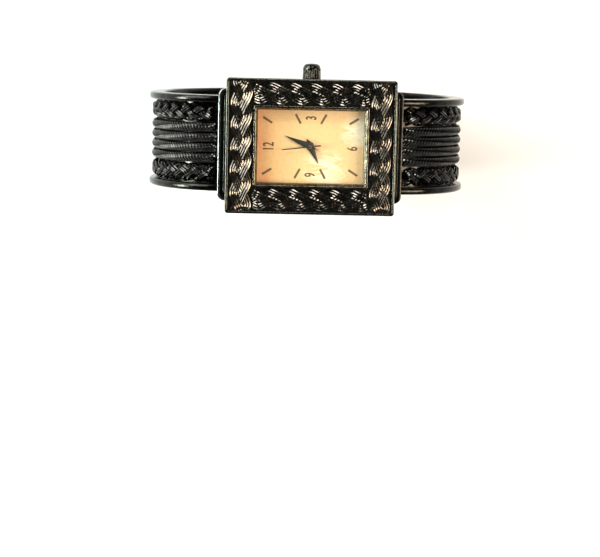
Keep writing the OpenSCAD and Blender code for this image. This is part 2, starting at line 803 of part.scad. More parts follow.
module main_plate() {
    minute_r = (minute_n / 2 + 1) * works_m() + works_room;
    color([0.8, 0.72, 0.45]) place() difference() {
        union() {
            slab(movement_w, plate_l, plate_r, plate_back_z, dial_back_z);
            for (at = pillars)
                translate([at[0], at[1], 0]) rod(pillar_r, bridge_z, plate_back_z);
            for (end = [-1, 1])
                translate([board_x, board_y + end * board_l * 0.4, 0]) rod(post_r, board_z, plate_back_z);
            for (x = [coil_x0 - 2 * post_r, coil_x1 + 2 * post_r])
                translate([x, coil_y, 0]) rod(post_r, stator_z, plate_back_z);
            translate([-slot_w / 2, plate_l / 2 - bearing_l, stem_z - bearing_h])
                cube([slot_w, bearing_l, plate_back_z - stem_z + bearing_h + 0.01]);
        }
        slab(movement_w - 2 * plate_r, plate_l - 2 * plate_r, plate_r / 2, plate_z, dial_back_z + cut);
        translate([works_at[0], works_at[1], 0]) difference() {
            rod(minute_r, works_z, dial_back_z);
            rod(arbor_r, works_z - cut, dial_back_z - 0.1);
        }
        rod(cannon_room_r, works_z, dial_back_z);
        rod(centre_d / 2 + pivot_gap, plate_back_z - cut, works_z + cut);
        for (at = [third_at, fifth_at, rotor_at]) plate_pivot(at);
        for (side = [-1, 1])
            translate([side * foot_at[0], side * foot_at[1], 0])
                rod(foot_r, dial_back_z - foot_l, dial_back_z + cut);
        translate([battery_at[0], battery_at[1], 0])
            rod(battery_d / 2 + battery_gap, plate_back_z - cut, battery_z);
        translate([-slot_w / 2, slot_y, plate_back_z - cut])
            cube([slot_w, plate_l / 2 - bearing_l - slot_y, plate_z - plate_back_z + 2 * cut]);
        translate([0, 0, stem_z]) y_rod(stem_d / 2 + pivot_gap, stem_tip_y, plate_l);
        translate([lever_pivot[0], lever_pivot[1], 0]) difference() {
            translate([-lever_room[0], -lever_room[1], lever_z - 0.05])
                cube([lever_arm_x, lever_room[2], dial_back_z - lever_z + cut]);
            rod(lever_post_r, lever_z - cut, lever_z + lever_t + 0.1);
        }
        for (at = pillars)
            translate([at[0], at[1], 0]) rod(screw_r, bridge_z - cut, bridge_z + screw_len);
    }
}

module train_bridge() {
    m = bridge_edge;
    edge = [rotor_at + 1.5 * [-m, -m], [rotor_at[0] - 1.5 * m, pillars[1][1] - m],
        pillars[1] + [-m / 2, m], pillars[2] + [0, m], pillars[2] + [m, -m / 2],
        pillars[0] + [m, m / 2], pillars[0] + [m / 2, -m], pillars[0] + [-m, -m]];
    color([0.78, 0.78, 0.76]) place() difference() {
        translate([0, 0, bridge_z - bridge_t]) linear_extrude(bridge_t) polygon(edge);
        for (at = [third_at, fifth_at, rotor_at])
            translate([at[0], at[1], 0]) rod(arbor_r + pivot_gap, arbor_end - pivot_end_gap, bridge_z + cut);
        rod(second_arbor_d / 2 + pivot_gap, arbor_end - pivot_end_gap, bridge_z + cut);
        for (at = pillars)
            translate([at[0], at[1], 0]) rod(screw_r, bridge_z - bridge_t - cut, bridge_z + cut);
    }
}

module bridge_screws() {
    color([0.6, 0.6, 0.62]) place() for (at = pillars)
        translate([at[0], at[1], 0]) difference() {
            union() {
                rod(screw_r, bridge_z - bridge_t, bridge_z + screw_len);
                rod(screw_head_r, bridge_z - bridge_t - screw_head_h, bridge_z - bridge_t);
            }
            translate([-screw_head_r, -slot_t / 2, bridge_z - bridge_t - screw_head_h - cut])
                cube([2 * screw_head_r, slot_t, screw_head_h / 2 + cut]);
        }
}

// Movement: wheels. The module of each mesh follows from its centre distance and tooth counts.

function works_m() = 2 * works_a / (cannon_n + minute_n);
function hour_m() = 2 * works_a / (minute_pinion_n + hour_n);
function centre_m() = 2 * third_a / (centre_n + third_pinion_n);
function third_m() = 2 * third_a / (third_n + fourth_pinion_n);
function fourth_m() = 2 * fifth_a / (fourth_n + fifth_pinion_n);
function fifth_m() = 2 * rotor_a / (fifth_n + rotor_n);

module cannon_pinion() {
    color([0.8, 0.68, 0.35]) place() difference() {
        union() {
            rod(centre_d / 2, centre_wheel_z - wheel_t, minute_hand_z + hand_t);
            toothed(cannon_n, works_m(), 0, minute_wheel_z - wheel_t - mesh_lap, pinion_h, 0);
        }
        rod(second_arbor_d / 2 + pivot_gap, centre_wheel_z - cut, minute_hand_z + cut);
    }
}

module centre_wheel() {
    color([0.82, 0.68, 0.32]) place()
        toothed(centre_n, centre_m(), 0, centre_wheel_z - wheel_t, wheel_t, centre_d / 2);
}

module minute_wheel() {
    color([0.82, 0.68, 0.32]) place() translate([works_at[0], works_at[1], 0]) {
        toothed(minute_n, works_m(), minute_phase, minute_wheel_z - wheel_t, wheel_t, arbor_r + pivot_gap);
        toothed(minute_pinion_n, hour_m(), 0, minute_wheel_z, minute_pinion_top - minute_wheel_z,
            arbor_r + pivot_gap);
    }
}

module hour_wheel() {
    color([0.82, 0.68, 0.32]) place() {
        toothed(hour_n, hour_m(), hour_phase, hour_z - hour_wheel_t, hour_wheel_t, centre_d / 2 + pivot_gap);
        difference() {
            rod(hour_pipe_d / 2, hour_z, hour_hand_z + hand_t);
            rod(centre_d / 2 + pivot_gap, hour_z - cut, hour_hand_z + cut);
        }
    }
}

// An arbor with one pinion and one wheel
module train_wheel(r, top, pinion_n, pinion_m, pinion_turn, pinion_top, wheel_n, wheel_m, wheel_top) {
    rod(r, arbor_end, top);
    if (pinion_n > 0) toothed(pinion_n, pinion_m, pinion_turn, pinion_top - pinion_h, pinion_h, 0);
    toothed(wheel_n, wheel_m, 0, wheel_top - wheel_t, wheel_t, 0);
}

module third_wheel() {
    color([0.82, 0.68, 0.32]) place() translate([third_at[0], third_at[1], 0])
        train_wheel(arbor_r, arbor_top, third_pinion_n, centre_m(), third_phase, centre_wheel_z + mesh_lap,
            third_n, third_m(), third_wheel_z);
}

module fourth_wheel() {
    color([0.82, 0.68, 0.32]) place()
        train_wheel(second_arbor_d / 2, second_hand_z + hand_t, fourth_pinion_n, third_m(), fourth_phase,
            third_wheel_z + mesh_lap, fourth_n, fourth_m(), fourth_wheel_z);
}

module fifth_wheel() {
    color([0.82, 0.68, 0.32]) place() translate([fifth_at[0], fifth_at[1], 0])
        train_wheel(arbor_r, arbor_top, fifth_pinion_n, fourth_m(), fifth_phase, fourth_wheel_z + mesh_lap,
            fifth_n, fifth_m(), fifth_wheel_z);
}

module rotor() {
    color([0.35, 0.35, 0.38]) place() translate([rotor_at[0], rotor_at[1], 0]) {
        rod(arbor_r, arbor_end, arbor_top);
        rod(magnet_r, stator_z - magnet_h, stator_z + 0.05);
        toothed(rotor_n, fifth_m(), rotor_phase, fifth_wheel_z + mesh_lap - pinion_h, pinion_h, 0);
    }
}

// Movement: motor and electrical parts

// Its head goes round the rotor, and its two legs go down to the ends of the coil's core
module stator() {
    half = stator_hole_r + leg_w / 2;
    near_x = coil_x1 + leg_gap;
    far_x = coil_x0 - leg_gap - leg_w;
    foot_y = coil_y - leg_past;
    edge = [[far_x, rotor_at[1] + half], rotor_at + [half, half], rotor_at + [half, -1.4 * half],
        [near_x + leg_w, coil_y + core_w], [near_x + leg_w, foot_y], [near_x, foot_y],
        [near_x, coil_y + core_w / 2], rotor_at + [-half / 3, -1.2 * half],
        [far_x + leg_w, rotor_at[1] - 1.2 * half], [far_x + leg_w, foot_y], [far_x, foot_y]];
    color([0.6, 0.62, 0.64]) place() translate([0, 0, stator_z - stator_t]) linear_extrude(stator_t)
        difference() {
            polygon(edge);
            translate(rotor_at) circle(stator_hole_r);
        }
}

module coil_core() {
    reach = 1.2;
    color([0.65, 0.66, 0.68]) place()
        translate([coil_x0 - reach, coil_y - core_w / 2, stator_z - stator_t - core_t])
            cube([coil_x1 - coil_x0 + 2 * reach, core_w, core_t]);
}

module coil() {
    core_z = stator_z - stator_t - core_t / 2;
    color([0.72, 0.35, 0.16]) place() translate([0, coil_y, core_z]) difference() {
        translate([coil_x0, 0, 0]) rotate([0, 90, 0]) cylinder(h = coil_x1 - coil_x0, r = coil_r);
        cube([2 * movement_w, core_w, core_t], center = true);
    }
}

module circuit_board() {
    color([0.1, 0.35, 0.2]) place()
        translate([board_x - board_w / 2, board_y - board_l / 2, board_z - board_t])
            cube([board_w, board_l, board_t]);
}

module chip() {
    size = 1.6;
    height = 0.4;
    color([0.08, 0.08, 0.08]) place()
        translate([board_x - size / 2, board_y - size / 2, board_z - board_t - height])
            cube([size, size, height]);
}

module quartz_can() {
    color([0.75, 0.75, 0.76]) place() translate([can_at[0], can_at[1], board_z])
        y_rod(can_r, -can_l / 2, can_l / 2);
}

module battery() {
    color([0.78, 0.78, 0.78]) place() translate([battery_at[0], battery_at[1], 0]) {
        rod(battery_d / 2, battery_z - battery_t + battery_step, battery_z);
        rod(battery_d / 2 - battery_ledge, battery_z - battery_t, battery_z - battery_t + battery_step);
    }
}

module battery_clamp() {
    half = battery_d / 2 + battery_gap + 0.02;
    top = battery_z - battery_t;
    color([0.7, 0.7, 0.7]) place() translate([battery_at[0], battery_at[1], 0]) {
        translate([-half - clamp_t, -clamp_w / 2, top - clamp_t])
            cube([2 * (half + clamp_t), clamp_w, clamp_t]);
        for (x = [-half - clamp_t, half])
            translate([x, -clamp_w / 2, top - clamp_t])
                cube([clamp_t, clamp_w, plate_back_z - top + clamp_t]);
    }
}

// Cuff arms: drawn for the right side and mirrored for the left

// The part of a ring between two turns, seen from the side
module ring_sector(x, r_in, r_out, turn0, turn1) {
    far = 2 * r_out;
    turns = [turn0, (turn0 + turn1) / 2, turn1];
    translate([x, cuff_z]) intersection() {
        difference() {
            circle(r_out, $fn = 180);
            circle(r_in, $fn = 180);
        }
        polygon(concat([[0, 0]], [for (turn = turns) polar(far, turn)]));
    }
}

// A band along both arcs of an arm, between two depths below the rails and two places across it
module arm_band(depth0, depth1, y0, y1, turn_top, turn_end) {
    translate([0, y1, 0]) rotate([90, 0, 0]) linear_extrude(y1 - y0) {
        if (turn_top > 0)
            ring_sector(shoulder_x, shoulder_r - depth1, shoulder_r - depth0, max(0, turn_end), turn_top);
        if (turn_end < 0)
            ring_sector(lower_x, lower_r - depth1, lower_r - depth0, turn_end, min(0, turn_top));
    }
}

// Rounds off the two corners of the arm's end. The round is a little fuller than a quarter circle
// of that radius, so that it crosses both edges instead of only touching them.
module end_corners() {
    full_r = 1.03 * end_corner_r;
    translate([lower_x, 0, cuff_z]) rotate([0, end_turn, 0]) for (side = [-1, 1])
        difference() {
            translate([lower_r - arm_t - 1, side > 0 ? band_w / 2 - end_corner_r : -band_w / 2 - 1, -1])
                cube([arm_t + 2, end_corner_r + 1, end_corner_r + 1]);
            translate([lower_r - arm_t - 2, side * (band_w / 2 - end_corner_r), end_corner_r])
                rotate([0, 90, 0]) cylinder(h = arm_t + 4, r = full_r);
        }
}

module arm() {
    block_turn = (arm_r + relief_gap) / (shoulder_r - arm_r) * 180 / PI;
    relief_r = arm_r + relief_gap;
    difference() {
        union() {
            difference() {
                arm_band(floor_depth, arm_t, -rail_in_y, rail_in_y, hinge_turn, -end_turn);
                translate([hinge_x, 0, hinge_z]) y_rod(relief_r, -rail_in_y, rail_in_y);
            }
            arm_band(0, arm_t, -rail_in_y, rail_in_y, bar_turn - end_turn, -end_turn);
            for (side = [-1, 1]) {
                y0 = side > 0 ? rail_in_y : -band_w / 2;
                k0 = side > 0 ? knuckle_y : -knuckle_y - knuckle_l;
                arm_band(0, arm_t, y0, y0 + rail_w, hinge_turn, -end_turn);
                translate([hinge_x, 0, hinge_z]) y_rod(arm_r, y0, y0 + rail_w);
                translate([hinge_x, 0, hinge_z]) y_rod(lug_r, k0, k0 + knuckle_l);
                arm_band(rope_drop + lug_step, arm_t, k0, k0 + knuckle_l,
                    hinge_turn, hinge_turn - block_turn);
            }
        }
        translate([hinge_x, 0, hinge_z]) y_rod(pin_r + run_gap, -band_w, band_w);
        end_corners();
    }
}

// Ropes and braids lie in the channel along a line of points, from the hinge to the end bar. The points
// are close enough that the flat lengths between them sag less than the gap under the ropes.
sag_share = 0.9;
rope_ring_gap = sqrt(8 * sag_share * rope_lift / (shoulder_r - floor_depth)) * shoulder_r;
rope_sides = 9;
top_rings = ceil(rope_start * PI / 180 * shoulder_r / rope_ring_gap);
low_rings = ceil((end_turn - bar_turn) * PI / 180 * lower_r / rope_ring_gap);
rope_turns = concat(
    [for (i = [0:top_rings]) rope_start * (1 - i / top_rings)],
    [for (i = [1:low_rings]) -(end_turn - bar_turn) * i / low_rings]
);

// A point of an arm at a turn of its arcs, a depth below the rails and a place across the band
function arm_point(turn, depth, y) =
    let (r = (turn > 0 ? shoulder_r : lower_r) - depth)
    [(turn > 0 ? shoulder_x : lower_x) + r * cos(turn), y, cuff_z + r * sin(turn)];

// The rounded top of a rope or braid, half_w to each side of its middle and flat underneath
function dome_points(half_w, h, sides) =
    let (r = (h * h + half_w * half_w) / (2 * h), tilt = asin(half_w / r))
    let (spread = h > half_w ? 180 - tilt : tilt)
    [for (k = [0:sides - 1])
        let (turn = spread * (2 * k / (sides - 1) - 1))
        [h - r + r * cos(turn), r * sin(turn)]];

module laid_length(half_w, h, y) {
    dome = dome_points(half_w, h, rope_sides);
    rings = len(rope_turns);
    polyhedron(
        [for (turn = rope_turns) for (p = dome) arm_point(turn, floor_depth - rope_lift - p[0], y + p[1])],
        tube_faces(rings, rope_sides)
    );
}

module ropes() {
    r = (rope_pitch - rope_gap) / 2;
    h = floor_depth - rope_drop - rope_lift;
    half_w = h > r ? sqrt(r * r - (h - r) * (h - r)) : r;
    for (i = [0:rope_count - 1])
        laid_length(half_w, h, (i - (rope_count - 1) / 2) * rope_pitch);
}

// A plait on an arm: two rows of slanted humps that alternate. Their chevrons point to the case where
// way is 1, and to the end where it is -1. Each hump has four rings of points, one of them in the groove
// before the next hump.
hump_rings = 4;
top_len = rope_start * PI / 180 * shoulder_r;
plait_len = top_len + (end_turn - bar_turn) * PI / 180 * lower_r;
plait_rings = hump_rings * round(plait_len / plait_pitch);
slant_share = 0.6;
slant_len = slant_share * plait_w;

// Its section: places across it, as a share of half its width, with the share of its height there
plait_section = [[-1, 0], [-0.88, 0.7], [-0.45, 1], [0, 0.75], [0.45, 1], [0.88, 0.7], [1, 0]];

// Turn of the arm's arcs at a distance along the plait
function turn_at(s) =
    s < top_len ? rope_start - s / shoulder_r * 180 / PI : -(s - top_len) / lower_r * 180 / PI;

function plait_point(i, at, half_w, h, y, way) =
    let (s = plait_len * i / plait_rings)
    let (slant = slant_len * min(1, s / (2 * slant_len), (plait_len - s) / (2 * slant_len)))
    let (grooved = at[0] != 0 && (i + sign(at[0]) + 1) % hump_rings == 0)
    let (rise = at[1] * (grooved ? h - plait_groove : h))
    arm_point(turn_at(s + way * slant * abs(at[0])), floor_depth - rope_lift - rise, y + at[0] * half_w);

module plait(half_w, h, y, way) {
    polyhedron(
        [for (i = [0:plait_rings]) for (at = plait_section) plait_point(i, at, half_w, h, y, way)],
        tube_faces(plait_rings + 1, len(plait_section))
    );
}

module plaits() {
    for (side = [-1, 1])
        plait((plait_w - rope_gap) / 2, floor_depth - rope_drop - rope_lift, side * plait_y, -side);
}

module hinge_pin() {
    translate([hinge_x, 0, hinge_z]) y_rod(pin_r, -pin_l / 2, pin_l / 2);
}

// Hinge spring: one wire wound round the pin, with a leg on the arm and a leg on the case
spring_r = pin_r + 0.12 + spring_wire / 2;
spring_half = knuckle_y - knuckle_gap - spring_wire / 2;
spring_pitch = 2 * spring_half / spring_turns;
spring_rings = 8;
spring_sides = 6;
leg_len = 0.9;
spring_steps = spring_turns * spring_rings;

// Centre line of the wire in the hinge's own frame: u towards the arm, y along the pin, w up
function spring_path() = concat(
    [[leg_len, -spring_half, -spring_r]],
    [for (i = [0:spring_steps])
        let (turn = -90 - i * 360 / spring_rings)
        [spring_r * cos(turn), -spring_half + i * spring_pitch / spring_rings, spring_r * sin(turn)]],
    [[-leg_len, spring_half, -spring_r]]
);

// Rings of points round a path, each square to the path
function ring_frame(p, i) =
    let (last = len(p) - 1, t = p[min(i + 1, last)] - p[max(i - 1, 0)], d = t / norm(t))
    let (s = cross(d, [0, 1, 0.001]), a = s / norm(s))
    [a, cross(d, a)];
function ring_points(p, r, sides) = [
    for (i = [0:len(p) - 1])
        let (f = ring_frame(p, i))
        for (k = [0:sides - 1])
            p[i] + r * (cos(k * 360 / sides) * f[0] + sin(k * 360 / sides) * f[1])
];
function tube_faces(rings, sides) = concat(
    [[for (k = [0:sides - 1]) sides - 1 - k]],
    [for (i = [0:rings - 2])
        for (k = [0:sides - 1])
            let (a = i * sides + k, b = i * sides + (k + 1) % sides)
            each [[a, b, b + sides], [a, b + sides, a + sides]]],
    [[for (k = [0:sides - 1]) (rings - 1) * sides + k]]
);

// Least gap between one turn of a wire and the next, measured between points half a turn or more apart
function least_gap(p, r, apart) =
    min([for (i = [0:len(p) - 1 - apart]) for (j = [i + apart:len(p) - 1]) norm(p[j] - p[i])]) - 2 * r;
echo(spring_gap = least_gap(spring_path(), spring_wire / 2, spring_rings / 2));

module hinge_spring() {
    path = spring_path();
    translate([hinge_x, 0, hinge_z])
        polyhedron(ring_points(path, spring_wire / 2, spring_sides), tube_faces(len(path), spring_sides));
}

module left_arm() { color([0.17, 0.17, 0.17]) place() mirror([1, 0, 0]) arm(); }
module left_ropes() { color([0.2, 0.2, 0.2]) place() mirror([1, 0, 0]) ropes(); }
module left_plaits() { color([0.2, 0.2, 0.19]) place() mirror([1, 0, 0]) plaits(); }
module left_hinge_pin() { color([0.6, 0.6, 0.6]) place() mirror([1, 0, 0]) hinge_pin(); }
module left_hinge_spring() { color([0.5, 0.5, 0.52]) place() mirror([1, 0, 0]) hinge_spring(); }
module right_arm() { color([0.17, 0.17, 0.17]) place() arm(); }
module right_ropes() { color([0.2, 0.2, 0.2]) place() ropes(); }
module right_plaits() { color([0.2, 0.2, 0.19]) place() plaits(); }
module right_hinge_pin() { color([0.6, 0.6, 0.6]) place() hinge_pin(); }
module right_hinge_spring() { color([0.5, 0.5, 0.52]) place() hinge_spring(); }

bezel();
side_braid(-1);  // bezel_braid_12
side_braid(1);  // bezel_braid_6
end_braid(1);  // bezel_braid_3
end_braid(-1);  // bezel_braid_9
crystal();
crystal_gasket();
dial_ring();
dial();
hour_hand();
minute_hand();
second_hand();
mid_case();
case_back();
back_gasket();
crown_tube();
crown();
crown_seal();
stem();
sliding_pinion();
setting_lever();
movement_holder();
main_plate();
train_bridge();
bridge_screws();
cannon_pinion();
centre_wheel();
minute_wheel();
hour_wheel();
third_wheel();
fourth_wheel();
fifth_wheel();
rotor();
stator();
coil_core();
coil();
circuit_board();
chip();
quartz_can();
battery();
battery_clamp();
left_arm();
left_ropes();
left_plaits();
left_hinge_pin();
left_hinge_spring();
right_arm();
right_ropes();
right_plaits();
right_hinge_pin();
right_hinge_spring();
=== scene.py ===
"""Looks of a cuff watch: a rectangular watch with a wire-braided bezel on a sprung, hinged cuff.

Lengths are in millimetres in the watch's own frame, as in the part's source: X from 12 to 6 o'clock,
Y from 9 to 3 o'clock, Z out of the dial, with the origin on the axis of the hands at the bezel's top.
add_piece() turns them into metres in the row frame.
"""

import math

import bmesh
import bpy
import numpy as np
from mathutils import Matrix, Vector


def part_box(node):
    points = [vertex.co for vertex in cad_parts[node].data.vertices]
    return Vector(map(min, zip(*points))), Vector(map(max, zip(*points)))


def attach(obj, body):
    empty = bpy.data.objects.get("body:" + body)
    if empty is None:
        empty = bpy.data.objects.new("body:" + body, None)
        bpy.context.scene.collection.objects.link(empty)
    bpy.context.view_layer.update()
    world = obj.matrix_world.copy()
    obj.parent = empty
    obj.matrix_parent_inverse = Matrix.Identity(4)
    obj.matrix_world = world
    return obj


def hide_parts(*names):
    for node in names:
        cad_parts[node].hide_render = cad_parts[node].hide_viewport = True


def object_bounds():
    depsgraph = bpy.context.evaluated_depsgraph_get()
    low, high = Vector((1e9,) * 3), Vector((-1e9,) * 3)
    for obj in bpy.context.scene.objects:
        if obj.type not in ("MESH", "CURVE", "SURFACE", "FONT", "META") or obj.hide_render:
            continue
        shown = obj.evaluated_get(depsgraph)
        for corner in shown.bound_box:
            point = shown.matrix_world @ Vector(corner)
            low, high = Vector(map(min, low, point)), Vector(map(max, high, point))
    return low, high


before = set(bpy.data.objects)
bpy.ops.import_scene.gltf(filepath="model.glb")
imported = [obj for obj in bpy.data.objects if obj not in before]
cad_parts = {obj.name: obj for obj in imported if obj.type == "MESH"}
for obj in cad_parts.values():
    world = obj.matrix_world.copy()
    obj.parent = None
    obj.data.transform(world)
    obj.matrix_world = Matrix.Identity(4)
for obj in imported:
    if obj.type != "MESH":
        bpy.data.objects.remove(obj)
cad_low, cad_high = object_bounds()

MM = 0.001
bezel_low, bezel_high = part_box("bezel")
# The axis of the hands at the bezel's top, in metres
HUB = np.array([(bezel_low.x + bezel_high.x) / 2, (bezel_low.y + bezel_high.y) / 2, bezel_high.z])

# Bezel and window
BEZEL_W = (bezel_high.x - bezel_low.x) / MM
BEZEL_L = (bezel_high.y - bezel_low.y) / MM
BEZEL_H = (bezel_high.z - bezel_low.z) / MM
BORDER_W = 0.5
RIM_W = 0.35
BEVEL_W = 0.43
BEVEL_DROP = 0.65
LIP_T = 0.2
CHANNEL_DEPTH = 0.9
WINDOW_W = 20.0
WINDOW_L = 13.7
POCKET_GROW = 1.0
CHANNEL_W = BEZEL_W - 2 * BORDER_W
CHANNEL_L = BEZEL_L - 2 * BORDER_W
RIM_IN_W = WINDOW_W + 2 * BEVEL_W
RIM_IN_L = WINDOW_L + 2 * BEVEL_W
RIM_OUT_W = RIM_IN_W + 2 * RIM_W
RIM_OUT_L = RIM_IN_L + 2 * RIM_W
DIAL_Z = -BEZEL_H

# Case
CASE_W = 34.9
CASE_L = 21.2
BODY_W = 30.0
FLANGE_T = 1.6
CASE_H = 4.55
CAVITY_W = 27.4
CAVITY_L = 18.6
BACK_INSET = 0.4
BACK_T = 0.8
FLANGE_Z = -(BEZEL_H + FLANGE_T)
CASE_Z = -(BEZEL_H + CASE_H)
STEM_Z = -4.5
BOSS_D = 2.7
BOSS_END = 11.9
TUBE_D = 1.7
CROWN_D = 3.4
CROWN_Y0 = 12.05
CROWN_Y1 = 15.55
CROWN_FLUTES = 24

# Hands
HAND_T = 0.14

# Plaits
STRAND_WIRES = 4

# Cuff
CUFF_W = (cad_high.x - cad_low.x) / MM
SHOULDER_R = 15.7
LOWER_R = 29.0
BAND_W = 18.2
ARM_T = 2.75
RAIL_W = 1.4
ROPE_DROP = 0.5
FLOOR_DEPTH = 2.05
ROPE_COUNT = 4
ROPE_FIELD = 7.7
END_GAP = 20.0
HINGE_X = 16.5
HINGE_Z = -6.455
PIN_D = 1.0
LUG_Y = 5.0
LUG_L = 2.4
LUG_R = ARM_T / 2 - 0.1
KNUCKLE_L = 2.2
KNUCKLE_Y = 2.65
MID_R = SHOULDER_R - ARM_T / 2
SHOULDER_X = CUFF_W / 2 - SHOULDER_R
LOWER_X = CUFF_W / 2 - LOWER_R
HINGE_TURN = math.acos((HINGE_X - SHOULDER_X) / MID_R)
CUFF_Z = HINGE_Z - MID_R * math.sin(HINGE_TURN)
END_TURN = math.acos((END_GAP / 2 - LOWER_X) / LOWER_R)
MID_LOWER_R = LOWER_R - ARM_T / 2
SHOULDER_S = HINGE_TURN * MID_R
ARM_S = SHOULDER_S + END_TURN * MID_LOWER_R
BRAID_FROM_S = 1.47
BRAID_TO_S = ARM_S - RAIL_W - 0.15


# Meshes

# Radius at which a turned solid without a bore closes on its axis
AXIS_R = 0.02
# Steps in each rounded corner of a frame, and sides of each collar and hub
CORNER_STEPS = 6
HUB_SIDES = 32


class Shape:
    """Points and faces of one piece, gathered from several surfaces."""

    def __init__(self):
        self.points = []
        self.faces = []

    def add(self, points, faces):
        """Adds points, and faces that count them from 0."""
        base = len(self.points)
        self.points.extend(np.asarray(points, float).tolist())
        self.faces.extend([tuple(base + i for i in face) for face in faces])
        return self

    def loft(self, rings, closed=False):
        """Joins rings of points in a row: back to the first ring where closed, else with end faces."""
        rings = np.asarray(rings, float)
        rows, cols = rings.shape[:2]
        faces = ring_grid(rows, cols, closed)
        if not closed:
            faces += caps(rows, cols)
        return self.add(rings.reshape(-1, 3), faces)


def add_piece(name, shape, material, body, replaced=(), sharp=38):
    """Makes an object of a shape, in the row frame, riding on a body.

    Edges that turn by more than sharp, in degrees, aren't shaded smooth.
    """
    mesh = bpy.data.meshes.new(name)
    points = np.asarray(shape.points) * MM + HUB
    mesh.from_pydata(points.tolist(), [], shape.faces)
    work = bmesh.new()
    work.from_mesh(mesh)
    bmesh.ops.recalc_face_normals(work, faces=work.faces)
    work.to_mesh(mesh)
    work.free()
    mesh.polygons.foreach_set("use_smooth", np.ones(len(mesh.polygons), bool))
    mesh.set_sharp_from_angle(angle=math.radians(sharp))
    mesh.materials.append(material)
    piece = add_object(name, mesh)
    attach(piece, body)
    if replaced:
        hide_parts(*replaced)
    return piece


def add_object(name, data):
    """Makes an object of a mesh, curve, lamp or camera and puts it in the scene."""
    made = bpy.data.objects.new(name, data)
    bpy.context.scene.collection.objects.link(made)
    return made


def ring_grid(rows, cols, closed=False):
    """Faces between each ring of points and the next one, and back to the first where closed."""
    faces = []
    for i in range(rows if closed else rows - 1):
        a, b = i * cols, (i + 1) % rows * cols
        for j in range(cols):
            k = (j + 1) % cols
            faces.append((a + j, a + k, b + k, b + j))
    return faces


def caps(rows, cols):
    """End faces of a row of rings."""
    last = (rows - 1) * cols
    return [tuple(reversed(range(cols))), tuple(range(last, last + cols))]


def corner_ring(half_w, half_l, r, z):
    """Points round a rectangle with rounded corners."""
    ring = []
    for k, (sx, sy) in enumerate([(1, 1), (-1, 1), (-1, -1), (1, -1)]):
        for i in range(CORNER_STEPS + 1):
            a = math.pi / 2 * (k + i / CORNER_STEPS)
            ring.append((sx * (half_w - r) + r * math.cos(a), sy * (half_l - r) + r * math.sin(a), z))
    return ring


def filleted(corners, closed, steps=4):
    """Rounds each corner of an outline. A row is the corner's place and, last, its fillet."""
    rows = [np.array(c[:-1], float) for c in corners]
    count = len(rows)
    out = []
    for i, corner in enumerate(corners):
        fillet = corner[-1]
        p = rows[i]
        ends = not closed and i in (0, count - 1)
        if fillet <= 0 or ends:
            out.append(p)
            continue
        before, after = rows[i - 1] - p, rows[(i + 1) % count] - p
        a = p + before * min(0.5, fillet / max(np.linalg.norm(before), 1e-9))
        b = p + after * min(0.5, fillet / max(np.linalg.norm(after), 1e-9))
        for k in range(steps + 1):
            t = k / steps
            out.append((1 - t) ** 2 * a + 2 * t * (1 - t) * p + t * t * b)
    return out


def frame_shape(shape, corners, closed=True):
    """A rectangular frame or plate. Corner rows are half-width, half-length, corner radius, z, fillet."""
    return shape.loft([corner_ring(*row) for row in filleted(corners, closed)], closed)


def turned_shape(shape, corners, centre, sides=48, closed=True, fluting=None):
    """A solid turned about a line along Y. Corner rows are y, radius, fillet."""
    cx, cy, cz = centre
    rings = []
    for y, r in filleted(corners, closed):
        ring = []
        for k in range(sides):
            a = 2 * math.pi * k / sides
            rr = r - fluting(y, r, a) if fluting else r
            ring.append((cx + rr * math.cos(a), cy + y, cz + rr * math.sin(a)))
        rings.append(ring)
    return shape.loft(rings, closed)


def barrel(length, inner, outer, fillet):
    """Corner rows for turned_shape(): a cylinder with rounded edges and a bore."""
    end = length / 2
    return [(-end, inner, 0), (-end, outer, fillet), (end, outer, fillet), (end, inner, 0)]


def rings_about_z(rows):
    """Rings of points about the axis of the hands. Rows are radius and z."""
    turns = [2 * math.pi * k / HUB_SIDES for k in range(HUB_SIDES)]
    return [[(r * math.cos(a), r * math.sin(a), z) for a in turns] for r, z in rows]


def turned(points, turn):
    """Points turned about Z."""
    return np.asarray(points, float) @ np.array(Matrix.Rotation(turn, 3, "Z")).T


def box_section(centre, half, top, bottom):
    """Corners of a rectangle as (across, height or depth)."""
    return [(centre + half, top), (centre + half, bottom), (centre - half, bottom), (centre - half, top)]


def tube_shape(shape, path, ups, radius, sides):
    """A wire along a path. ups gives the surface's normal at each point."""
    path, ups = np.asarray(path, float), np.asarray(ups, float)
    along = np.gradient(path, axis=0)
    along /= np.linalg.norm(along, axis=1)[:, None]
    up = ups - (ups * along).sum(1)[:, None] * along
    up /= np.linalg.norm(up, axis=1)[:, None]
    across = np.cross(along, up)
    turns = 2 * np.pi * np.arange(sides) / sides
    ring = np.cos(turns)[None, :, None] * up[:, None, :] + np.sin(turns)[None, :, None] * across[:, None, :]
    return shape.loft(path[:, None, :] + ring * radius)


def smooth_step(x):
    """Rises from 0 to 1 with no kink at either end."""
    x = np.clip(x, 0, 1)
    return x * x * (3 - 2 * x)


# Materials

def link(tree, a, b):
    """Joins an output socket to an input socket."""
    tree.links.new(a, b)


def node(tree, kind, **values):
    """A shader node with its properties and input values set by name."""
    made = tree.nodes.new(kind)
    for key, value in values.items():
        if key in made.inputs.keys():
            made.inputs[key].default_value = value
        else:
            setattr(made, key, value)
    return made


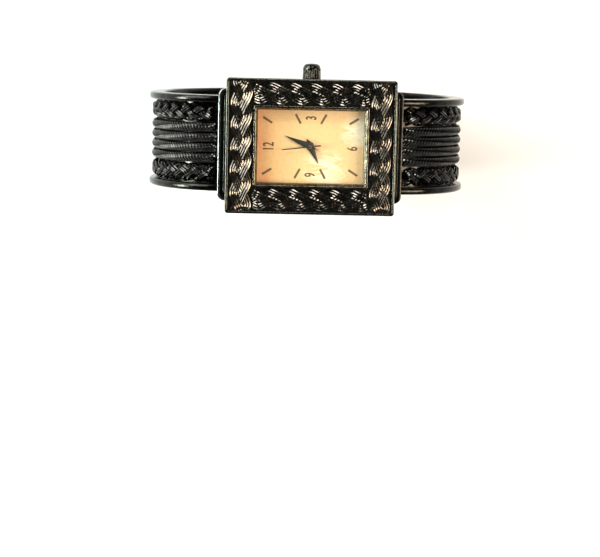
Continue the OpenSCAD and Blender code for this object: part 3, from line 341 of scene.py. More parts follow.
def base_material(name, metallic=0.0, **sockets):
    """A Principled material and its coordinates in millimetres."""
    material = bpy.data.materials.new(name)
    material.use_nodes = True
    tree = material.node_tree
    shader = tree.nodes["Principled BSDF"]
    shader.inputs["Metallic"].default_value = metallic
    for key, value in sockets.items():
        shader.inputs[key.replace("_", " ")].default_value = value
    coordinates = tree.nodes.new("ShaderNodeTexCoord")
    scaled = node(tree, "ShaderNodeVectorMath", operation="SCALE", Scale=1 / MM)
    link(tree, coordinates.outputs["Object"], scaled.inputs[0])
    return material, tree, shader, scaled.outputs[0]


def noise(tree, where, scale, detail=3.0, stretch=(1, 1, 1)):
    """Noise from 0 to 1, with its scale per millimetre."""
    mapped = node(tree, "ShaderNodeMapping", Scale=stretch)
    link(tree, where, mapped.inputs["Vector"])
    made = node(tree, "ShaderNodeTexNoise", Scale=scale, Detail=detail)
    link(tree, mapped.outputs[0], made.inputs["Vector"])
    return made.outputs["Fac"]


def ramp(tree, value, stops):
    """Colours between stops of (place, colour)."""
    made = tree.nodes.new("ShaderNodeValToRGB")
    elements = made.color_ramp.elements
    while len(elements) < len(stops):
        elements.new(0.5)
    for element, (place, colour) in zip(elements, stops):
        element.position = place
        element.color = (*colour, 1)
    link(tree, value, made.inputs["Fac"])
    return made.outputs["Color"]


def blend(tree, amount, under, colour):
    """A colour laid over another by an amount."""
    made = node(tree, "ShaderNodeMix", data_type="RGBA")
    link(tree, amount, made.inputs[0])
    link(tree, under, made.inputs[6])
    made.inputs[7].default_value = (*colour, 1)
    return made.outputs[2]


def spread(tree, value, low, high, from_low=0.3, from_high=0.7):
    """The value mapped to a range."""
    made = node(tree, "ShaderNodeMapRange")
    made.inputs["From Min"].default_value = from_low
    made.inputs["From Max"].default_value = from_high
    made.inputs["To Min"].default_value = low
    made.inputs["To Max"].default_value = high
    link(tree, value, made.inputs["Value"])
    return made.outputs["Result"]


def combine(tree, operation, a, b):
    """One value from two."""
    made = node(tree, "ShaderNodeMath", operation=operation)
    link(tree, a, made.inputs[0])
    link(tree, b, made.inputs[1])
    return made.outputs[0]


def axis(tree, vector, letter):
    """One coordinate of a vector."""
    parts = tree.nodes.new("ShaderNodeSeparateXYZ")
    link(tree, vector, parts.inputs[0])
    return parts.outputs[letter]


def bump(tree, shader, height, strength, distance):
    """Relief from a height, in millimetres."""
    made = node(tree, "ShaderNodeBump", Strength=strength, Distance=distance * MM)
    link(tree, height, made.inputs["Height"])
    link(tree, made.outputs["Normal"], shader.inputs["Normal"])


def plated_metal(name, dark, light, rough, scale=1.4, relief=0.02, grain=9.0):
    """Dark plated metal: cloudy tone, uneven polish and fine dents.

    scale is the cloud's and grain the dents', per millimetre. relief is the dents' depth in millimetres.
    """
    material, tree, shader, where = base_material(name, metallic=1.0)
    cloud = noise(tree, where, scale)
    fine = noise(tree, where, grain, 4.0)
    link(tree, ramp(tree, cloud, [(0.3, dark), (0.7, light)]), shader.inputs["Base Color"])
    link(tree, spread(tree, fine, rough[0], rough[1]), shader.inputs["Roughness"])
    bump(tree, shader, fine, 0.6, relief)
    return material


def bead_painted_highlight():
    """The bead's plating with a painted highlight: paler on its 12 side, where the lamps catch it, than on
    its 6 side.
    """
    material, tree, shader, where = base_material("bead_painted_highlight", metallic=1.0)
    cloud, fine = noise(tree, where, 1.6), noise(tree, where, 6.0, 4.0)
    # Painted highlight: a pale green-grey laid over the 12 side, fading out towards the 6 side and broken up
    # by the cloud
    pale_x, dull_x = -14, 8
    fading = spread(tree, axis(tree, where, "X"), 1, 0, pale_x, dull_x)
    highlight_paint = combine(tree, "MULTIPLY", fading, spread(tree, cloud, 0.6, 1.0))
    dull = ramp(tree, cloud, [(0.3, (0.022, 0.02, 0.017)), (0.7, (0.05, 0.046, 0.038))])
    link(tree, blend(tree, highlight_paint, dull, (0.3, 0.32, 0.295)), shader.inputs["Base Color"])
    link(tree, spread(tree, fine, 0.14, 0.22), shader.inputs["Roughness"])
    bump(tree, shader, fine, 0.6, 0.004)
    return material


def brushed_metal(name, dark, light, rough, stretch):
    """Metal with fine lines along each axis whose stretch is small."""
    material, tree, shader, where = base_material(name, metallic=1.0)
    lines = noise(tree, where, 6.0, 4.0, stretch)
    cloud = noise(tree, where, 0.8)
    link(tree, ramp(tree, cloud, [(0.3, dark), (0.7, light)]), shader.inputs["Base Color"])
    link(tree, spread(tree, lines, rough[0], rough[1]), shader.inputs["Roughness"])
    bump(tree, shader, lines, 0.5, 0.01)
    return material


def moulded(name, dark, light, rough, scale=3.0, relief=0.01):
    """Moulded plastic or rubber with a fine skin."""
    material, tree, shader, where = base_material(name)
    skin = noise(tree, where, scale, 5.0)
    link(tree, ramp(tree, skin, [(0.35, dark), (0.65, light)]), shader.inputs["Base Color"])
    link(tree, spread(tree, skin, rough[0], rough[1]), shader.inputs["Roughness"])
    bump(tree, shader, skin, 0.5, relief)
    return material


def pearl_dial():
    """Cream mother-of-pearl with painted shade as a deeper orange near 12 o'clock, and broken pale flakes
    towards 9 and 6.
    """
    material, tree, shader, where = base_material("pearl_dial", Coat_Weight=0.2, Coat_Roughness=0.08)
    shift = node(tree, "ShaderNodeVectorMath", operation="SUBTRACT")
    shift.inputs[1].default_value = tuple(HUB / MM)
    link(tree, where, shift.inputs[0])
    local = shift.outputs[0]
    # The tone runs from 12 to 6 o'clock, and its bands wander by a few millimetres
    wander = 5.0
    tone = node(tree, "ShaderNodeMath", operation="MULTIPLY_ADD")
    tone.inputs[1].default_value = wander
    link(tree, noise(tree, local, 0.22, 2.0), tone.inputs[0])
    link(tree, axis(tree, local, "X"), tone.inputs[2])
    # The deeper, darker orange at the 12 o'clock end is painted shade of the rim, laid over the pearl's own
    # cream and orange tone
    colour = ramp(tree, spread(tree, tone.outputs[0], 0, 1, -8.2, 12.5), [
        (0.0, (0.95, 0.43, 0.19)),
        (0.13, (0.96, 0.58, 0.24)),
        (0.3, (0.96, 0.65, 0.29)),
        (1.0, (0.86, 0.55, 0.26)),
    ])
    pink = spread(tree, axis(tree, local, "Y"), 0, 0.5, 5.2, 7.4)
    colour = blend(tree, pink, colour, (0.95, 0.6, 0.42))
    field = flake_field(tree, local)
    colour = lay_flakes(tree, local, field, colour, turn=62, start=3.0, scale=(0.3, 0.62, 1),
                        tint=(0.98, 0.92, 0.66), among=(0.55, 0.72))
    colour = lay_flakes(tree, local, field, colour, turn=-38, start=9.0, scale=(0.24, 0.7, 1),
                        tint=(0.98, 0.86, 0.6), among=(0.5, 0.7))
    link(tree, colour, shader.inputs["Base Color"])
    link(tree, spread(tree, noise(tree, local, 1.5), 0.22, 0.36), shader.inputs["Roughness"])
    return material


def lay_flakes(tree, local, field, under, turn, start, scale, tint, among):
    """Angular cells of nacre laid over a colour, where the field is strong, with fine pale edges.

    turn, start and scale place the cells. Their tint grows as their random tone crosses the range among.
    """
    tilt = node(tree, "ShaderNodeMapping", Location=(start, 0, 0), Scale=scale)
    tilt.inputs["Rotation"].default_value = (0, 0, math.radians(turn))
    link(tree, local, tilt.inputs["Vector"])
    cells = node(tree, "ShaderNodeTexVoronoi", Scale=1.0, Randomness=1.0)
    edges = node(tree, "ShaderNodeTexVoronoi", feature="DISTANCE_TO_EDGE", Scale=1.0, Randomness=1.0)
    for made in (cells, edges):
        link(tree, tilt.outputs[0], made.inputs["Vector"])
    tone = tree.nodes.new("ShaderNodeSeparateColor")
    link(tree, cells.outputs["Color"], tone.inputs[0])
    pale = spread(tree, tone.outputs[0], 0, 0.8, *among)
    fine = spread(tree, edges.outputs["Distance"], 0.6, 0, 0.01, 0.05)
    for part, colour in ((pale, tint), (fine, (1.0, 0.96, 0.74))):
        under = blend(tree, combine(tree, "MULTIPLY", part, field), under, colour)
    return under


def flake_field(tree, local):
    """How strong the flakes are: most from the hands towards 9 o'clock, some near 6, little elsewhere."""
    near = []
    for middle, reach in (((2.6, -4.4, DIAL_Z), 4.6), ((8.6, 3.0, DIAL_Z), 3.4)):
        away = node(tree, "ShaderNodeVectorMath", operation="DISTANCE")
        away.inputs[1].default_value = middle
        link(tree, local, away.inputs[0])
        near.append(spread(tree, away.outputs["Value"], 1, 0, 0.3 * reach, reach))
    return combine(tree, "MAXIMUM", *near)


def crystal_glass():
    """Clear mineral glass, a little smeared."""
    material, tree, shader, where = base_material("crystal_glass", Alpha=0.04, IOR=1.52)
    smear = noise(tree, where, 0.5)
    tint = ramp(tree, smear, [(0.3, (0.3, 0.34, 0.33)), (0.7, (0.36, 0.4, 0.39))])
    link(tree, tint, shader.inputs["Base Color"])
    link(tree, spread(tree, smear, 0.02, 0.06), shader.inputs["Roughness"])
    return material


# Each has its darkest and lightest colour, then its lowest and highest roughness
# Painted shade: the arms' rims and floors are the same plating as the bezel, painted darker for the dark
# surroundings they reflect
SHADED_ARM_METAL = plated_metal("gunmetal", (0.012, 0.0115, 0.0105), (0.034, 0.032, 0.028), (0.12, 0.22))
WIRE = plated_metal("gunmetal_wire", (0.06, 0.053, 0.0445), (0.19, 0.17, 0.143), (0.12, 0.2),
                    scale=0.9, relief=0.002, grain=3.0)
# Painted shade: the arms' ropes and plaits, darker than the bezel's wires of the same plating
SHADED_ROPE_WIRE = plated_metal("rope_wire_painted_shade", (0.024, 0.023, 0.021), (0.09, 0.087, 0.079), (0.07, 0.12),
                    scale=0.9, relief=0.002, grain=3.0)
CASE_METAL = plated_metal("case_metal", (0.03, 0.031, 0.028), (0.07, 0.072, 0.065), (0.14, 0.24),
                          scale=1.6, relief=0.004, grain=6.0)
# Painted shade: the crown's plating, painted darker for the dark reflection that its dome shows
SHADED_CROWN_METAL = plated_metal("crown_metal_painted_shade", (0.018, 0.018, 0.016), (0.06, 0.058, 0.05), (0.12, 0.22),
                           scale=1.2, relief=0.004, grain=6.0)
BORDER = plated_metal("dark_border", (0.03, 0.03, 0.026), (0.12, 0.12, 0.1), (0.14, 0.28),
                      scale=3.2, relief=0.01, grain=5.0)
RIM = plated_metal("bright_rim", (0.07, 0.063, 0.048), (0.23, 0.205, 0.15), (0.14, 0.24),
                   scale=1.3, relief=0.004, grain=5.0)
HAND_METAL = plated_metal("hand_metal", (0.09, 0.06, 0.043), (0.16, 0.11, 0.08), (0.16, 0.3),
                          scale=2.0, relief=0.006, grain=12.0)
EDGE = bead_painted_highlight()
DARK_RING = plated_metal("dark_ring", (0.06, 0.052, 0.045), (0.11, 0.1, 0.09), (0.25, 0.45))
MAGNET = plated_metal("magnet", (0.16, 0.16, 0.17), (0.28, 0.28, 0.3), (0.3, 0.5))
STEEL = brushed_metal("steel", (0.4, 0.4, 0.39), (0.58, 0.58, 0.57), (0.25, 0.42), stretch=(0.08, 1, 1))
BRIGHT_STEEL = brushed_metal("bright_steel", (0.55, 0.55, 0.56), (0.72, 0.72, 0.73), (0.12, 0.28),
                             stretch=(1, 0.1, 1))
BRASS = brushed_metal("brass", (0.62, 0.44, 0.16), (0.8, 0.62, 0.28), (0.2, 0.36), stretch=(0.2, 1, 1))
COPPER = brushed_metal("copper_wire", (0.5, 0.2, 0.08), (0.75, 0.36, 0.18), (0.25, 0.4),
                       stretch=(6, 0.2, 0.2))
RUBBER = moulded("seal_rubber", (0.012, 0.012, 0.012), (0.03, 0.03, 0.03), (0.5, 0.8))
HOLDER = moulded("holder_plastic", (0.66, 0.66, 0.62), (0.74, 0.74, 0.7), (0.4, 0.55))
BOARD = moulded("board_green", (0.02, 0.12, 0.06), (0.04, 0.2, 0.1), (0.3, 0.5), scale=4.0)
CHIP = moulded("chip_black", (0.012, 0.012, 0.012), (0.03, 0.03, 0.03), (0.4, 0.6), scale=5.0)
INK = moulded("printed_ink", (0.11, 0.055, 0.011), (0.19, 0.098, 0.022), (0.4, 0.6), scale=6.0, relief=0.004)
PEARL = pearl_dial()
GLASS = crystal_glass()

# The CAD nodes that stay
CARRIED = {
    "crystal": GLASS, "crystal_gasket": RUBBER, "dial_ring": DARK_RING, "dial": PEARL,
    "back_gasket": RUBBER, "crown_tube": BRIGHT_STEEL, "crown_seal": RUBBER, "stem": BRIGHT_STEEL,
    "sliding_pinion": BRIGHT_STEEL, "setting_lever": BRIGHT_STEEL, "movement_holder": HOLDER,
    "main_plate": BRASS, "train_bridge": BRIGHT_STEEL, "bridge_screws": STEEL, "cannon_pinion": BRASS,
    "centre_wheel": BRASS, "minute_wheel": BRASS, "hour_wheel": BRASS, "third_wheel": BRASS,
    "fourth_wheel": BRASS, "fifth_wheel": BRASS, "rotor": MAGNET, "stator": STEEL, "coil_core": STEEL,
    "coil": COPPER, "circuit_board": BOARD, "chip": CHIP, "quartz_can": BRIGHT_STEEL,
    "battery": BRIGHT_STEEL, "battery_clamp": STEEL,
}


def dress_carried_nodes():
    """Gives the CAD nodes that stay their materials."""
    for name, material in CARRIED.items():
        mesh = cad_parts[name].data
        mesh.materials.clear()
        mesh.materials.append(material)


# Bezel and its plaits

def make_bezel():
    """The plate with its outer border and channel, and the bevelled rim round the window."""
    w, l = BEZEL_W / 2, BEZEL_L / 2
    cw, cl = CHANNEL_W / 2, CHANNEL_L / 2
    ow, ol = RIM_OUT_W / 2, RIM_OUT_L / 2
    iw, il = RIM_IN_W / 2, RIM_IN_L / 2
    ww, wl = WINDOW_W / 2, WINDOW_L / 2
    pw, pl = ww + POCKET_GROW / 2, wl + POCKET_GROW / 2
    plate_r, channel_r, rim_r = 0.6, 0.35, 0.3
    # The plate's inner wall stands this far inside the rim's outer one
    tuck = 0.1
    lip = -(BEVEL_DROP + LIP_T)
    rim_foot, plate_top = lip - 0.15, lip - 0.2
    plate = frame_shape(Shape(), [
        (w, l, plate_r, -BEZEL_H, 0.12),
        (w, l, plate_r, 0, 0.38),
        (cw, cl, channel_r, 0, 0.16),
        (cw, cl, channel_r, -CHANNEL_DEPTH, 0),
        (ow - tuck, ol - tuck, rim_r, -CHANNEL_DEPTH, 0),
        (ow - tuck, ol - tuck, rim_r, plate_top, 0),
        (pw, pl, rim_r, plate_top, 0),
        (pw, pl, rim_r, -BEZEL_H, 0),
    ])
    add_piece("bezel_plate", plate, BORDER, "case", ["bezel"])
    rim = frame_shape(Shape(), [
        (ow, ol, rim_r, rim_foot, 0),
        (ow, ol, rim_r, 0, 0.12),
        (iw, il, 0.2, 0, 0.1),
        (ww, wl, 0.15, -BEVEL_DROP, 0.05),
        (ww, wl, 0.15, lip, 0),
        (pw, pl, rim_r, lip, 0),
        (pw, pl, rim_r, rim_foot, 0),
    ])
    add_piece("window_rim", rim, RIM, "case")


def plait_wires(length, width, height, wire_r, apart, lap, step, seed):
    """Centre lines of a three-strand plait of parallel wires: rows of (along, across, above the floor).

    Each strand rises steeply near the middle, along the slanted side of the strand that covers it, then
    lies flat over its neighbour and sinks slowly at the edge. lap is the length in which a strand comes
    back to its side, and apart is the distance between two wires of a strand.
    """
    # A strand runs straight between its turns, more so as bend nears 1, and starts to rise this early
    bend, early = 0.99, math.radians(15)
    # How steeply it rises over a neighbour, and how steeply it sinks
    crest, fall = 3.4, 2.2
    # The share of the height that it rises by, and how far its outer wires sag below its middle ones
    rise_share, sag = 0.55, 1.6
    # Over this length at each end the plait goes down to this share of its height
    tuck_l, tucked = 0.8, 0.35
    uneven_side, uneven_lift = 0.012, 0.008
    jitter = np.random.RandomState(seed)
    strand_w = apart * (STRAND_WIRES - 1)
    swing = width / 2 - wire_r - strand_w / 2
    peak = math.asin(bend)
    room = height / 2 - wire_r
    rise, arch = room * rise_share, room * (1 - rise_share)
    s = np.linspace(0, length, int(length / step) + 1)
    tuck = smooth_step(np.minimum(s, length - s) / tuck_l)
    crossing = 2 * math.atan(4 * swing / lap)
    lines = []
    for strand in range(3):
        turn = 2 * np.pi * (s / lap + strand / 3)
        wave = np.arcsin(bend * np.sin(turn)) / peak
        slope = swing * np.gradient(wave, s)
        lean = 1 / np.sqrt(1 + slope ** 2)
        for k in range(STRAND_WIRES):
            place = (k / (STRAND_WIRES - 1) - 0.5) * 2
            offset = place * strand_w / 2 + jitter.normal(0, uneven_side)
            phase = turn + early + 2 * np.pi * offset * np.cos(turn) / (lap * math.tan(crossing))
            steep = np.tanh(crest * np.sin(2 * phase)) / np.tanh(crest)
            slow = np.tanh(fall * np.sin(2 * phase)) / np.tanh(fall)
            over = np.where(np.cos(2 * phase) > 0, steep, slow)
            lift = height / 2 + over * rise + arch * (1 - sag * place ** 2) + jitter.normal(0, uneven_lift)
            along = s - slope * lean * offset
            across = swing * wave + lean * offset
            above = wire_r + (lift - wire_r) * (tucked + (1 - tucked) * tuck)
            lines.append(np.stack([np.clip(along, 0, length), across, above], 1))
    return lines


def make_bezel_plait(hour, centre, seed, length, width, turn, lap, apart, flip):
    """One plaited length in the channel, turned about Z. flip sets which way its chevrons point."""
    shape = Shape()
    wire_r, step = 0.2, 0.2
    height = CHANNEL_DEPTH - 0.03
    for line in plait_wires(length, width, height, wire_r, apart, lap, step, seed):
        s = (line[:, 0] - length / 2) * flip
        local = np.stack([s, line[:, 1], line[:, 2] - CHANNEL_DEPTH], 1)
        points = turned(local, turn) + np.array([centre[0], centre[1], 0])
        tube_shape(shape, points, np.tile([0, 0, 1.0], (len(points), 1)), wire_r, sides=8)
    add_piece(f"plait_{hour}_side", shape, WIRE, "case", [f"bezel_braid_{hour}"])


def make_bezel_plaits():
    """Two plaits along the whole of the 12 and 6 sides, and two fitted between them."""
    gap = 0.12
    side_x = (RIM_OUT_W + CHANNEL_W) / 4
    end_y = (RIM_OUT_L + CHANNEL_L) / 4
    side_w = (CHANNEL_W - RIM_OUT_W) / 2 - 4 * gap
    end_w = (CHANNEL_L - RIM_OUT_L) / 2 - 2 * gap
    whole = dict(length=CHANNEL_L - 2 * gap, width=side_w, turn=math.pi / 2, lap=12.6, apart=0.44, flip=1)
    fitted = dict(length=RIM_OUT_W - 0.1, width=end_w, turn=0, lap=11.7, apart=0.47, flip=-1)
    make_bezel_plait(12, (-side_x, 0), seed=3, **whole)
    make_bezel_plait(6, (side_x, 0), seed=4, **whole)
    make_bezel_plait(3, (0, end_y), seed=5, **fitted)
    make_bezel_plait(9, (0, -end_y), seed=6, **fitted)


# Case

def make_case():
    """Flange with a groove, body, crown boss and hinge lugs, and the bead round the flange's edge."""
    w, l = CASE_W / 2, CASE_L / 2
    bw = BODY_W / 2
    kw, kl = CAVITY_W / 2, CAVITY_L / 2
    top = -BEZEL_H
    groove, ledge = top - 0.5, FLANGE_Z + 0.02
    shape = frame_shape(Shape(), [
        (bw, l, 1.0, CASE_Z, 0.15),
        (bw, l, 1.0, ledge, 0.05),
        (w - 0.25, l - 0.2, 1.3, ledge, 0.05),
        (w - 0.25, l - 0.2, 1.3, groove, 0),
        (w - 0.85, l - 0.8, 0.9, groove, 0.1),
        (w - 1.15, l - 1.0, 0.8, top, 0.06),
        (kw, kl, 0.6, top, 0),
        (kw, kl, 0.6, CASE_Z, 0),
    ])
    boss_root = CASE_L / 2 - 0.65
    turned_shape(shape, [
        (boss_root, TUBE_D / 2, 0), (boss_root, BOSS_D / 2, 0),
        (BOSS_END, BOSS_D / 2, 0.2), (BOSS_END, TUBE_D / 2, 0)], (0, 0, STEM_Z))
    web_from, web_to = BODY_W / 2 - 0.3, HINGE_X - 0.75
    web_top, web_foot = HINGE_Z + LUG_R - 0.08, CASE_Z + 0.1
    for side in (-1, 1):
        for end in (-1, 1):
            y = end * (LUG_Y + LUG_L / 2)
            turned_shape(shape, barrel(LUG_L, PIN_D / 2, LUG_R, 0.15), (side * HINGE_X, y, HINGE_Z))
            web = box_section(y, LUG_L / 2 - 0.05, web_top, web_foot)
            shape.loft([[(side * x, *corner) for corner in web] for x in (web_from, web_to)])
    add_piece("case_middle", shape, CASE_METAL, "case", ["mid_case"])
    bead = frame_shape(Shape(), [
        (w, l, 1.4, FLANGE_Z, 0.3),
        (w, l, 1.4, top, 0.32),
        (w - 0.45, l - 0.4, 1.1, top, 0.12),
        (w - 0.5, l - 0.45, 1.1, top - 0.55, 0),
        (w - 0.5, l - 0.45, 1.1, FLANGE_Z, 0),
    ])
    add_piece("flange_bead", bead, EDGE, "case")


def make_case_back():
    """Snap-on back: a shallow dish with a brushed face and a groove near its edge."""
    w, l = BODY_W / 2 - BACK_INSET, CASE_L / 2 - BACK_INSET
    plug_w, plug_l = CAVITY_W / 2 - 0.5, CAVITY_L / 2 - 0.5
    back = CASE_Z - BACK_T
    groove = back + 0.08
    shape = frame_shape(Shape(), [
        (plug_w, plug_l, 0.3, CASE_Z + 0.6, 0),
        (plug_w, plug_l, 0.3, CASE_Z, 0),
        (w, l, 1.0, CASE_Z, 0.05),
        (w, l, 1.0, back + 0.25, 0.1),
        (w - 0.35, l - 0.35, 0.9, back, 0.08),
        (w - 1.2, l - 1.2, 0.8, back, 0.02),
        (w - 1.25, l - 1.25, 0.8, groove, 0.02),
        (w - 1.5, l - 1.5, 0.8, groove, 0.02),
        (w - 1.55, l - 1.55, 0.8, back, 0.02),
        (w - 4.0, l - 4.0, 0.6, back, 0),
    ], closed=False)
    add_piece("case_back_plate", shape, STEEL, "case", ["case_back"])


def make_crown():
    """Fluted crown with a domed end, hollow where it runs over its tube."""
    r = CROWN_D / 2
    bore_r, bore_end = 1.23, 13.4
    flute_depth, flute_floor_r = 0.22, 1.3
    flute_from, flute_to = CROWN_Y0 + 0.35, CROWN_Y1 - 1.1
    run_in, run_out = 0.2, 0.25

    def fluting(y, radius, turn):
        along = smooth_step((y - flute_from) / run_in) * smooth_step((flute_to - y) / run_out)
        deep = max(0.0, (radius - flute_floor_r) / (r - flute_floor_r))
        wave = 0.5 - 0.5 * math.cos(CROWN_FLUTES * turn)
        return flute_depth * deep * along * wave ** 1.2

    outline = [(bore_end, AXIS_R), (bore_end, bore_r), (CROWN_Y0, bore_r), (CROWN_Y0, r - 0.1)]
    outline += [(y, r) for y in (CROWN_Y0 + 0.1, flute_from, flute_from + 0.12, flute_from + 0.25, bore_end,
                                 flute_to - 0.3, flute_to - 0.12, flute_to)]
    # The end is nearly flat in its middle and falls 1 mm to its edge. Each share of the radius is a ring
    for share in (0.98, 0.93, 0.86, 0.74, 0.5, 0.3, 0.12):
        outline.append((CROWN_Y1 - 0.25 * share ** 2 - 0.75 * share ** 8, r * share))
    outline.append((CROWN_Y1, AXIS_R))
    rows = [(y, radius, 0) for y, radius in outline]
    shape = turned_shape(Shape(), rows, (0, 0, STEM_Z), CROWN_FLUTES * 8, closed=False, fluting=fluting)
    add_piece("crown_knob", shape, SHADED_CROWN_METAL, "crown_and_stem", ["crown"], sharp=50)


# Dial print and hands

def make_dial_bars():
    """Bars between the numbers, each a thin printed block."""
    shape = Shape()
    length, width = 2.05, 0.42
    foot, top = DIAL_Z + 0.001, DIAL_Z + 0.015
    # Middle of each bar and its angle in degrees, for the quarter between 3 and 6 o'clock
    quarter = [(8.15, 4.85, 32), (2.4, 5.15, 61)]
    for x, y, angle in quarter:
        a = math.radians(angle)
        for sx in (-1, 1):
            for sy in (-1, 1):
                u = np.array([sx * math.cos(a), sy * math.sin(a)]) * length / 2
                v = np.array([-u[1], u[0]]) * width / length
                c = np.array([sx * x, sy * y])
                flat = [c - u - v, c + u - v, c + u + v, c - u + v]
                shape.loft([[(*p, z) for p in flat] for z in (foot, top)])
    add_piece("dial_bars", shape, INK, "case")


def make_dial_numbers():
    """The four numbers, read with 12 o'clock at the top."""
    height, narrow, ink = 2.05, 0.62, 0.007
    stroke = 0.022
    middles = {"12": (-7.95, 0.0), "3": (0.0, 5.35), "6": (7.85, -0.25), "9": (0.0, -5.35)}
    for text, (x, y) in middles.items():
        curve = bpy.data.curves.new("number_" + text, "FONT")
        curve.body = text
        curve.align_x, curve.align_y = "CENTER", "CENTER"
        curve.size = 1.0
        curve.offset = stroke
        source = add_object("number_source", curve)
        mesh = bpy.data.meshes.new_from_object(source.evaluated_get(bpy.context.evaluated_depsgraph_get()))
        bpy.data.objects.remove(source)
        points = np.array([v.co for v in mesh.vertices])
        low, high = points.min(0), points.max(0)
        size = height / (high[1] - low[1])
        flat = (points[:, :2] - (low[:2] + high[:2]) / 2) * size * [narrow, 1]
        # Up on a number is towards -X, and its reading direction is +Y
        placed = np.stack([x - flat[:, 1], y + flat[:, 0], np.full(len(flat), DIAL_Z + ink)], 1)
        shape = Shape().add(placed, [tuple(p.vertices) for p in mesh.polygons])
        piece = add_piece("dial_number_" + text, shape, INK, "case")
        thick = piece.modifiers.new("ink", "SOLIDIFY")
        thick.thickness = 2 * ink * MM
        thick.offset = 0
        bpy.data.meshes.remove(mesh)


def kite_shape(length, waist, width, tail, hole, z, turn):
    """A kite-shaped hand with a ridge along its middle, and its collar. hole is the collar's inner radius."""
    half = width / 2
    rim, ridge, top = z + HAND_T * 0.35, z + HAND_T * 0.42, z + HAND_T
    outline = [(length, 0), (waist, half), (-tail, 0), (waist, -half)]
    points = [(x, y, z) for x, y in outline] + [(x, y, rim) for x, y in outline]
    points += [(length * 0.985, 0, ridge), (waist, 0, top), (-tail * 0.95, 0, ridge)]
    faces = [(3, 2, 1, 0), (0, 1, 5, 4), (1, 2, 6, 5), (2, 3, 7, 6), (3, 0, 4, 7),
             (4, 5, 9, 8), (5, 6, 10, 9), (6, 7, 9, 10), (7, 4, 8, 9)]
    shape = Shape().add(turned(points, turn), faces)
    outer = hole + 0.15
    collar = [(hole, z), (outer, z), (outer, z + HAND_T * 0.9), (outer - 0.04, top), (hole, top)]
    return shape.loft(turned(rings_about_z(collar), turn), closed=True)


def make_hands():
    """Kite-shaped hour and minute hands with a raised middle, and the seconds needle with its hub."""
    # Each hand's angle clockwise from 12 o'clock, in degrees
    hour_turn, minute_turn, second_turn = (math.radians(180 - a) for a in (244, 22, 352.8))
    hour = kite_shape(length=3.75, waist=-0.4, width=1.5, tail=1.6, hole=0.55,
                      z=DIAL_Z + 0.29, turn=hour_turn)
    add_piece("hour_hand_kite", hour, HAND_METAL, "hours", ["hour_hand"], sharp=8)
    minute = kite_shape(length=5.4, waist=1.1, width=1.15, tail=1.6, hole=0.35,
                        z=DIAL_Z + 0.6, turn=minute_turn)
    add_piece("minute_hand_kite", minute, HAND_METAL, "minutes", ["minute_hand"], sharp=8)
    z = DIAL_Z + 0.83
    edge, ridge = z + 0.05, z + 0.07
    # Places along the needle and its half-width there
    needle = [(-1.95, 0.08), (-1.9, 0.12), (-1.0, 0.12), (0.0, 0.12), (3.0, 0.105), (5.35, 0.08), (5.4, 0.05)]
    rings = [[(x, -h, z), (x, -h, edge), (x, 0, ridge), (x, h, edge), (x, h, z)] for x, h in needle]
    second = Shape().loft(turned(rings, second_turn))
    hub = [(AXIS_R, z - 0.05), (0.25, z - 0.05), (0.25, z + 0.1), (0.21, z + 0.14), (0.12, z + 0.165),
           (AXIS_R, z + 0.17)]
    second.loft(rings_about_z(hub))
    add_piece("second_hand_needle", second, HAND_METAL, "seconds", ["second_hand"], sharp=30)


# Cuff arms

def arm_point(s, y, depth, side):
    """Points at a distance s from the hinge along an arm, across the band, and below the rails' top."""
    s, y, depth = np.broadcast_arrays(np.asarray(s, float), np.asarray(y, float), np.asarray(depth, float))
    upper = s < SHOULDER_S
    turn = np.where(upper, HINGE_TURN - s / MID_R, -(s - SHOULDER_S) / MID_LOWER_R)
    r = np.where(upper, SHOULDER_R, LOWER_R) - depth
    x = np.where(upper, SHOULDER_X, LOWER_X) + r * np.cos(turn)
    z = CUFF_Z + r * np.sin(turn)
    return np.stack([side * x, y, z], -1)


def arm_normal(s, side):
    """The way out of the arm's surface at a distance s from the hinge."""
    s = np.asarray(s, float)
    turn = np.where(s < SHOULDER_S, HINGE_TURN - s / MID_R, -(s - SHOULDER_S) / MID_LOWER_R)
    return np.stack([side * np.cos(turn), np.zeros_like(turn), np.sin(turn)], -1)


def arm_bar(shape, s, section, side):
    """A bar along an arm. Its section is rows of (across, depth)."""
    return shape.loft(np.stack([arm_point(s, y, depth, side) for y, depth in section], 1))


def rail_profile():
    """Outline of the rim: (across, depth), a rectangle with well-rounded outer edges."""
    a = RAIL_W / 2
    return [tuple(p) for p in filleted([
        (a, 0, 0.62), (a, ARM_T, 0.35), (-a, ARM_T, 0.35), (-a, 0, 0.62)], True, 5)]


def rim_path():
    """Middle line of the rim as (s, y), down one edge, across the end and up the other edge."""
    edge = (BAND_W - RAIL_W) / 2
    end = ARM_S - RAIL_W / 2
    bend_r = 1.9
    bend_s, bend_y = end - bend_r, edge - bend_r
    down = [(s, edge) for s in np.linspace(0, bend_s, 90)]
    turns = np.linspace(0, math.pi / 2, 10)[1:]
    corner = [(bend_s + bend_r * math.sin(a), bend_y + bend_r * math.cos(a)) for a in turns]
    across = [(end, y) for y in np.linspace(bend_y, 0, 10)[1:]]
    half = down + corner + across
    return np.array(half + [(s, -y) for s, y in reversed(half[:-1])])


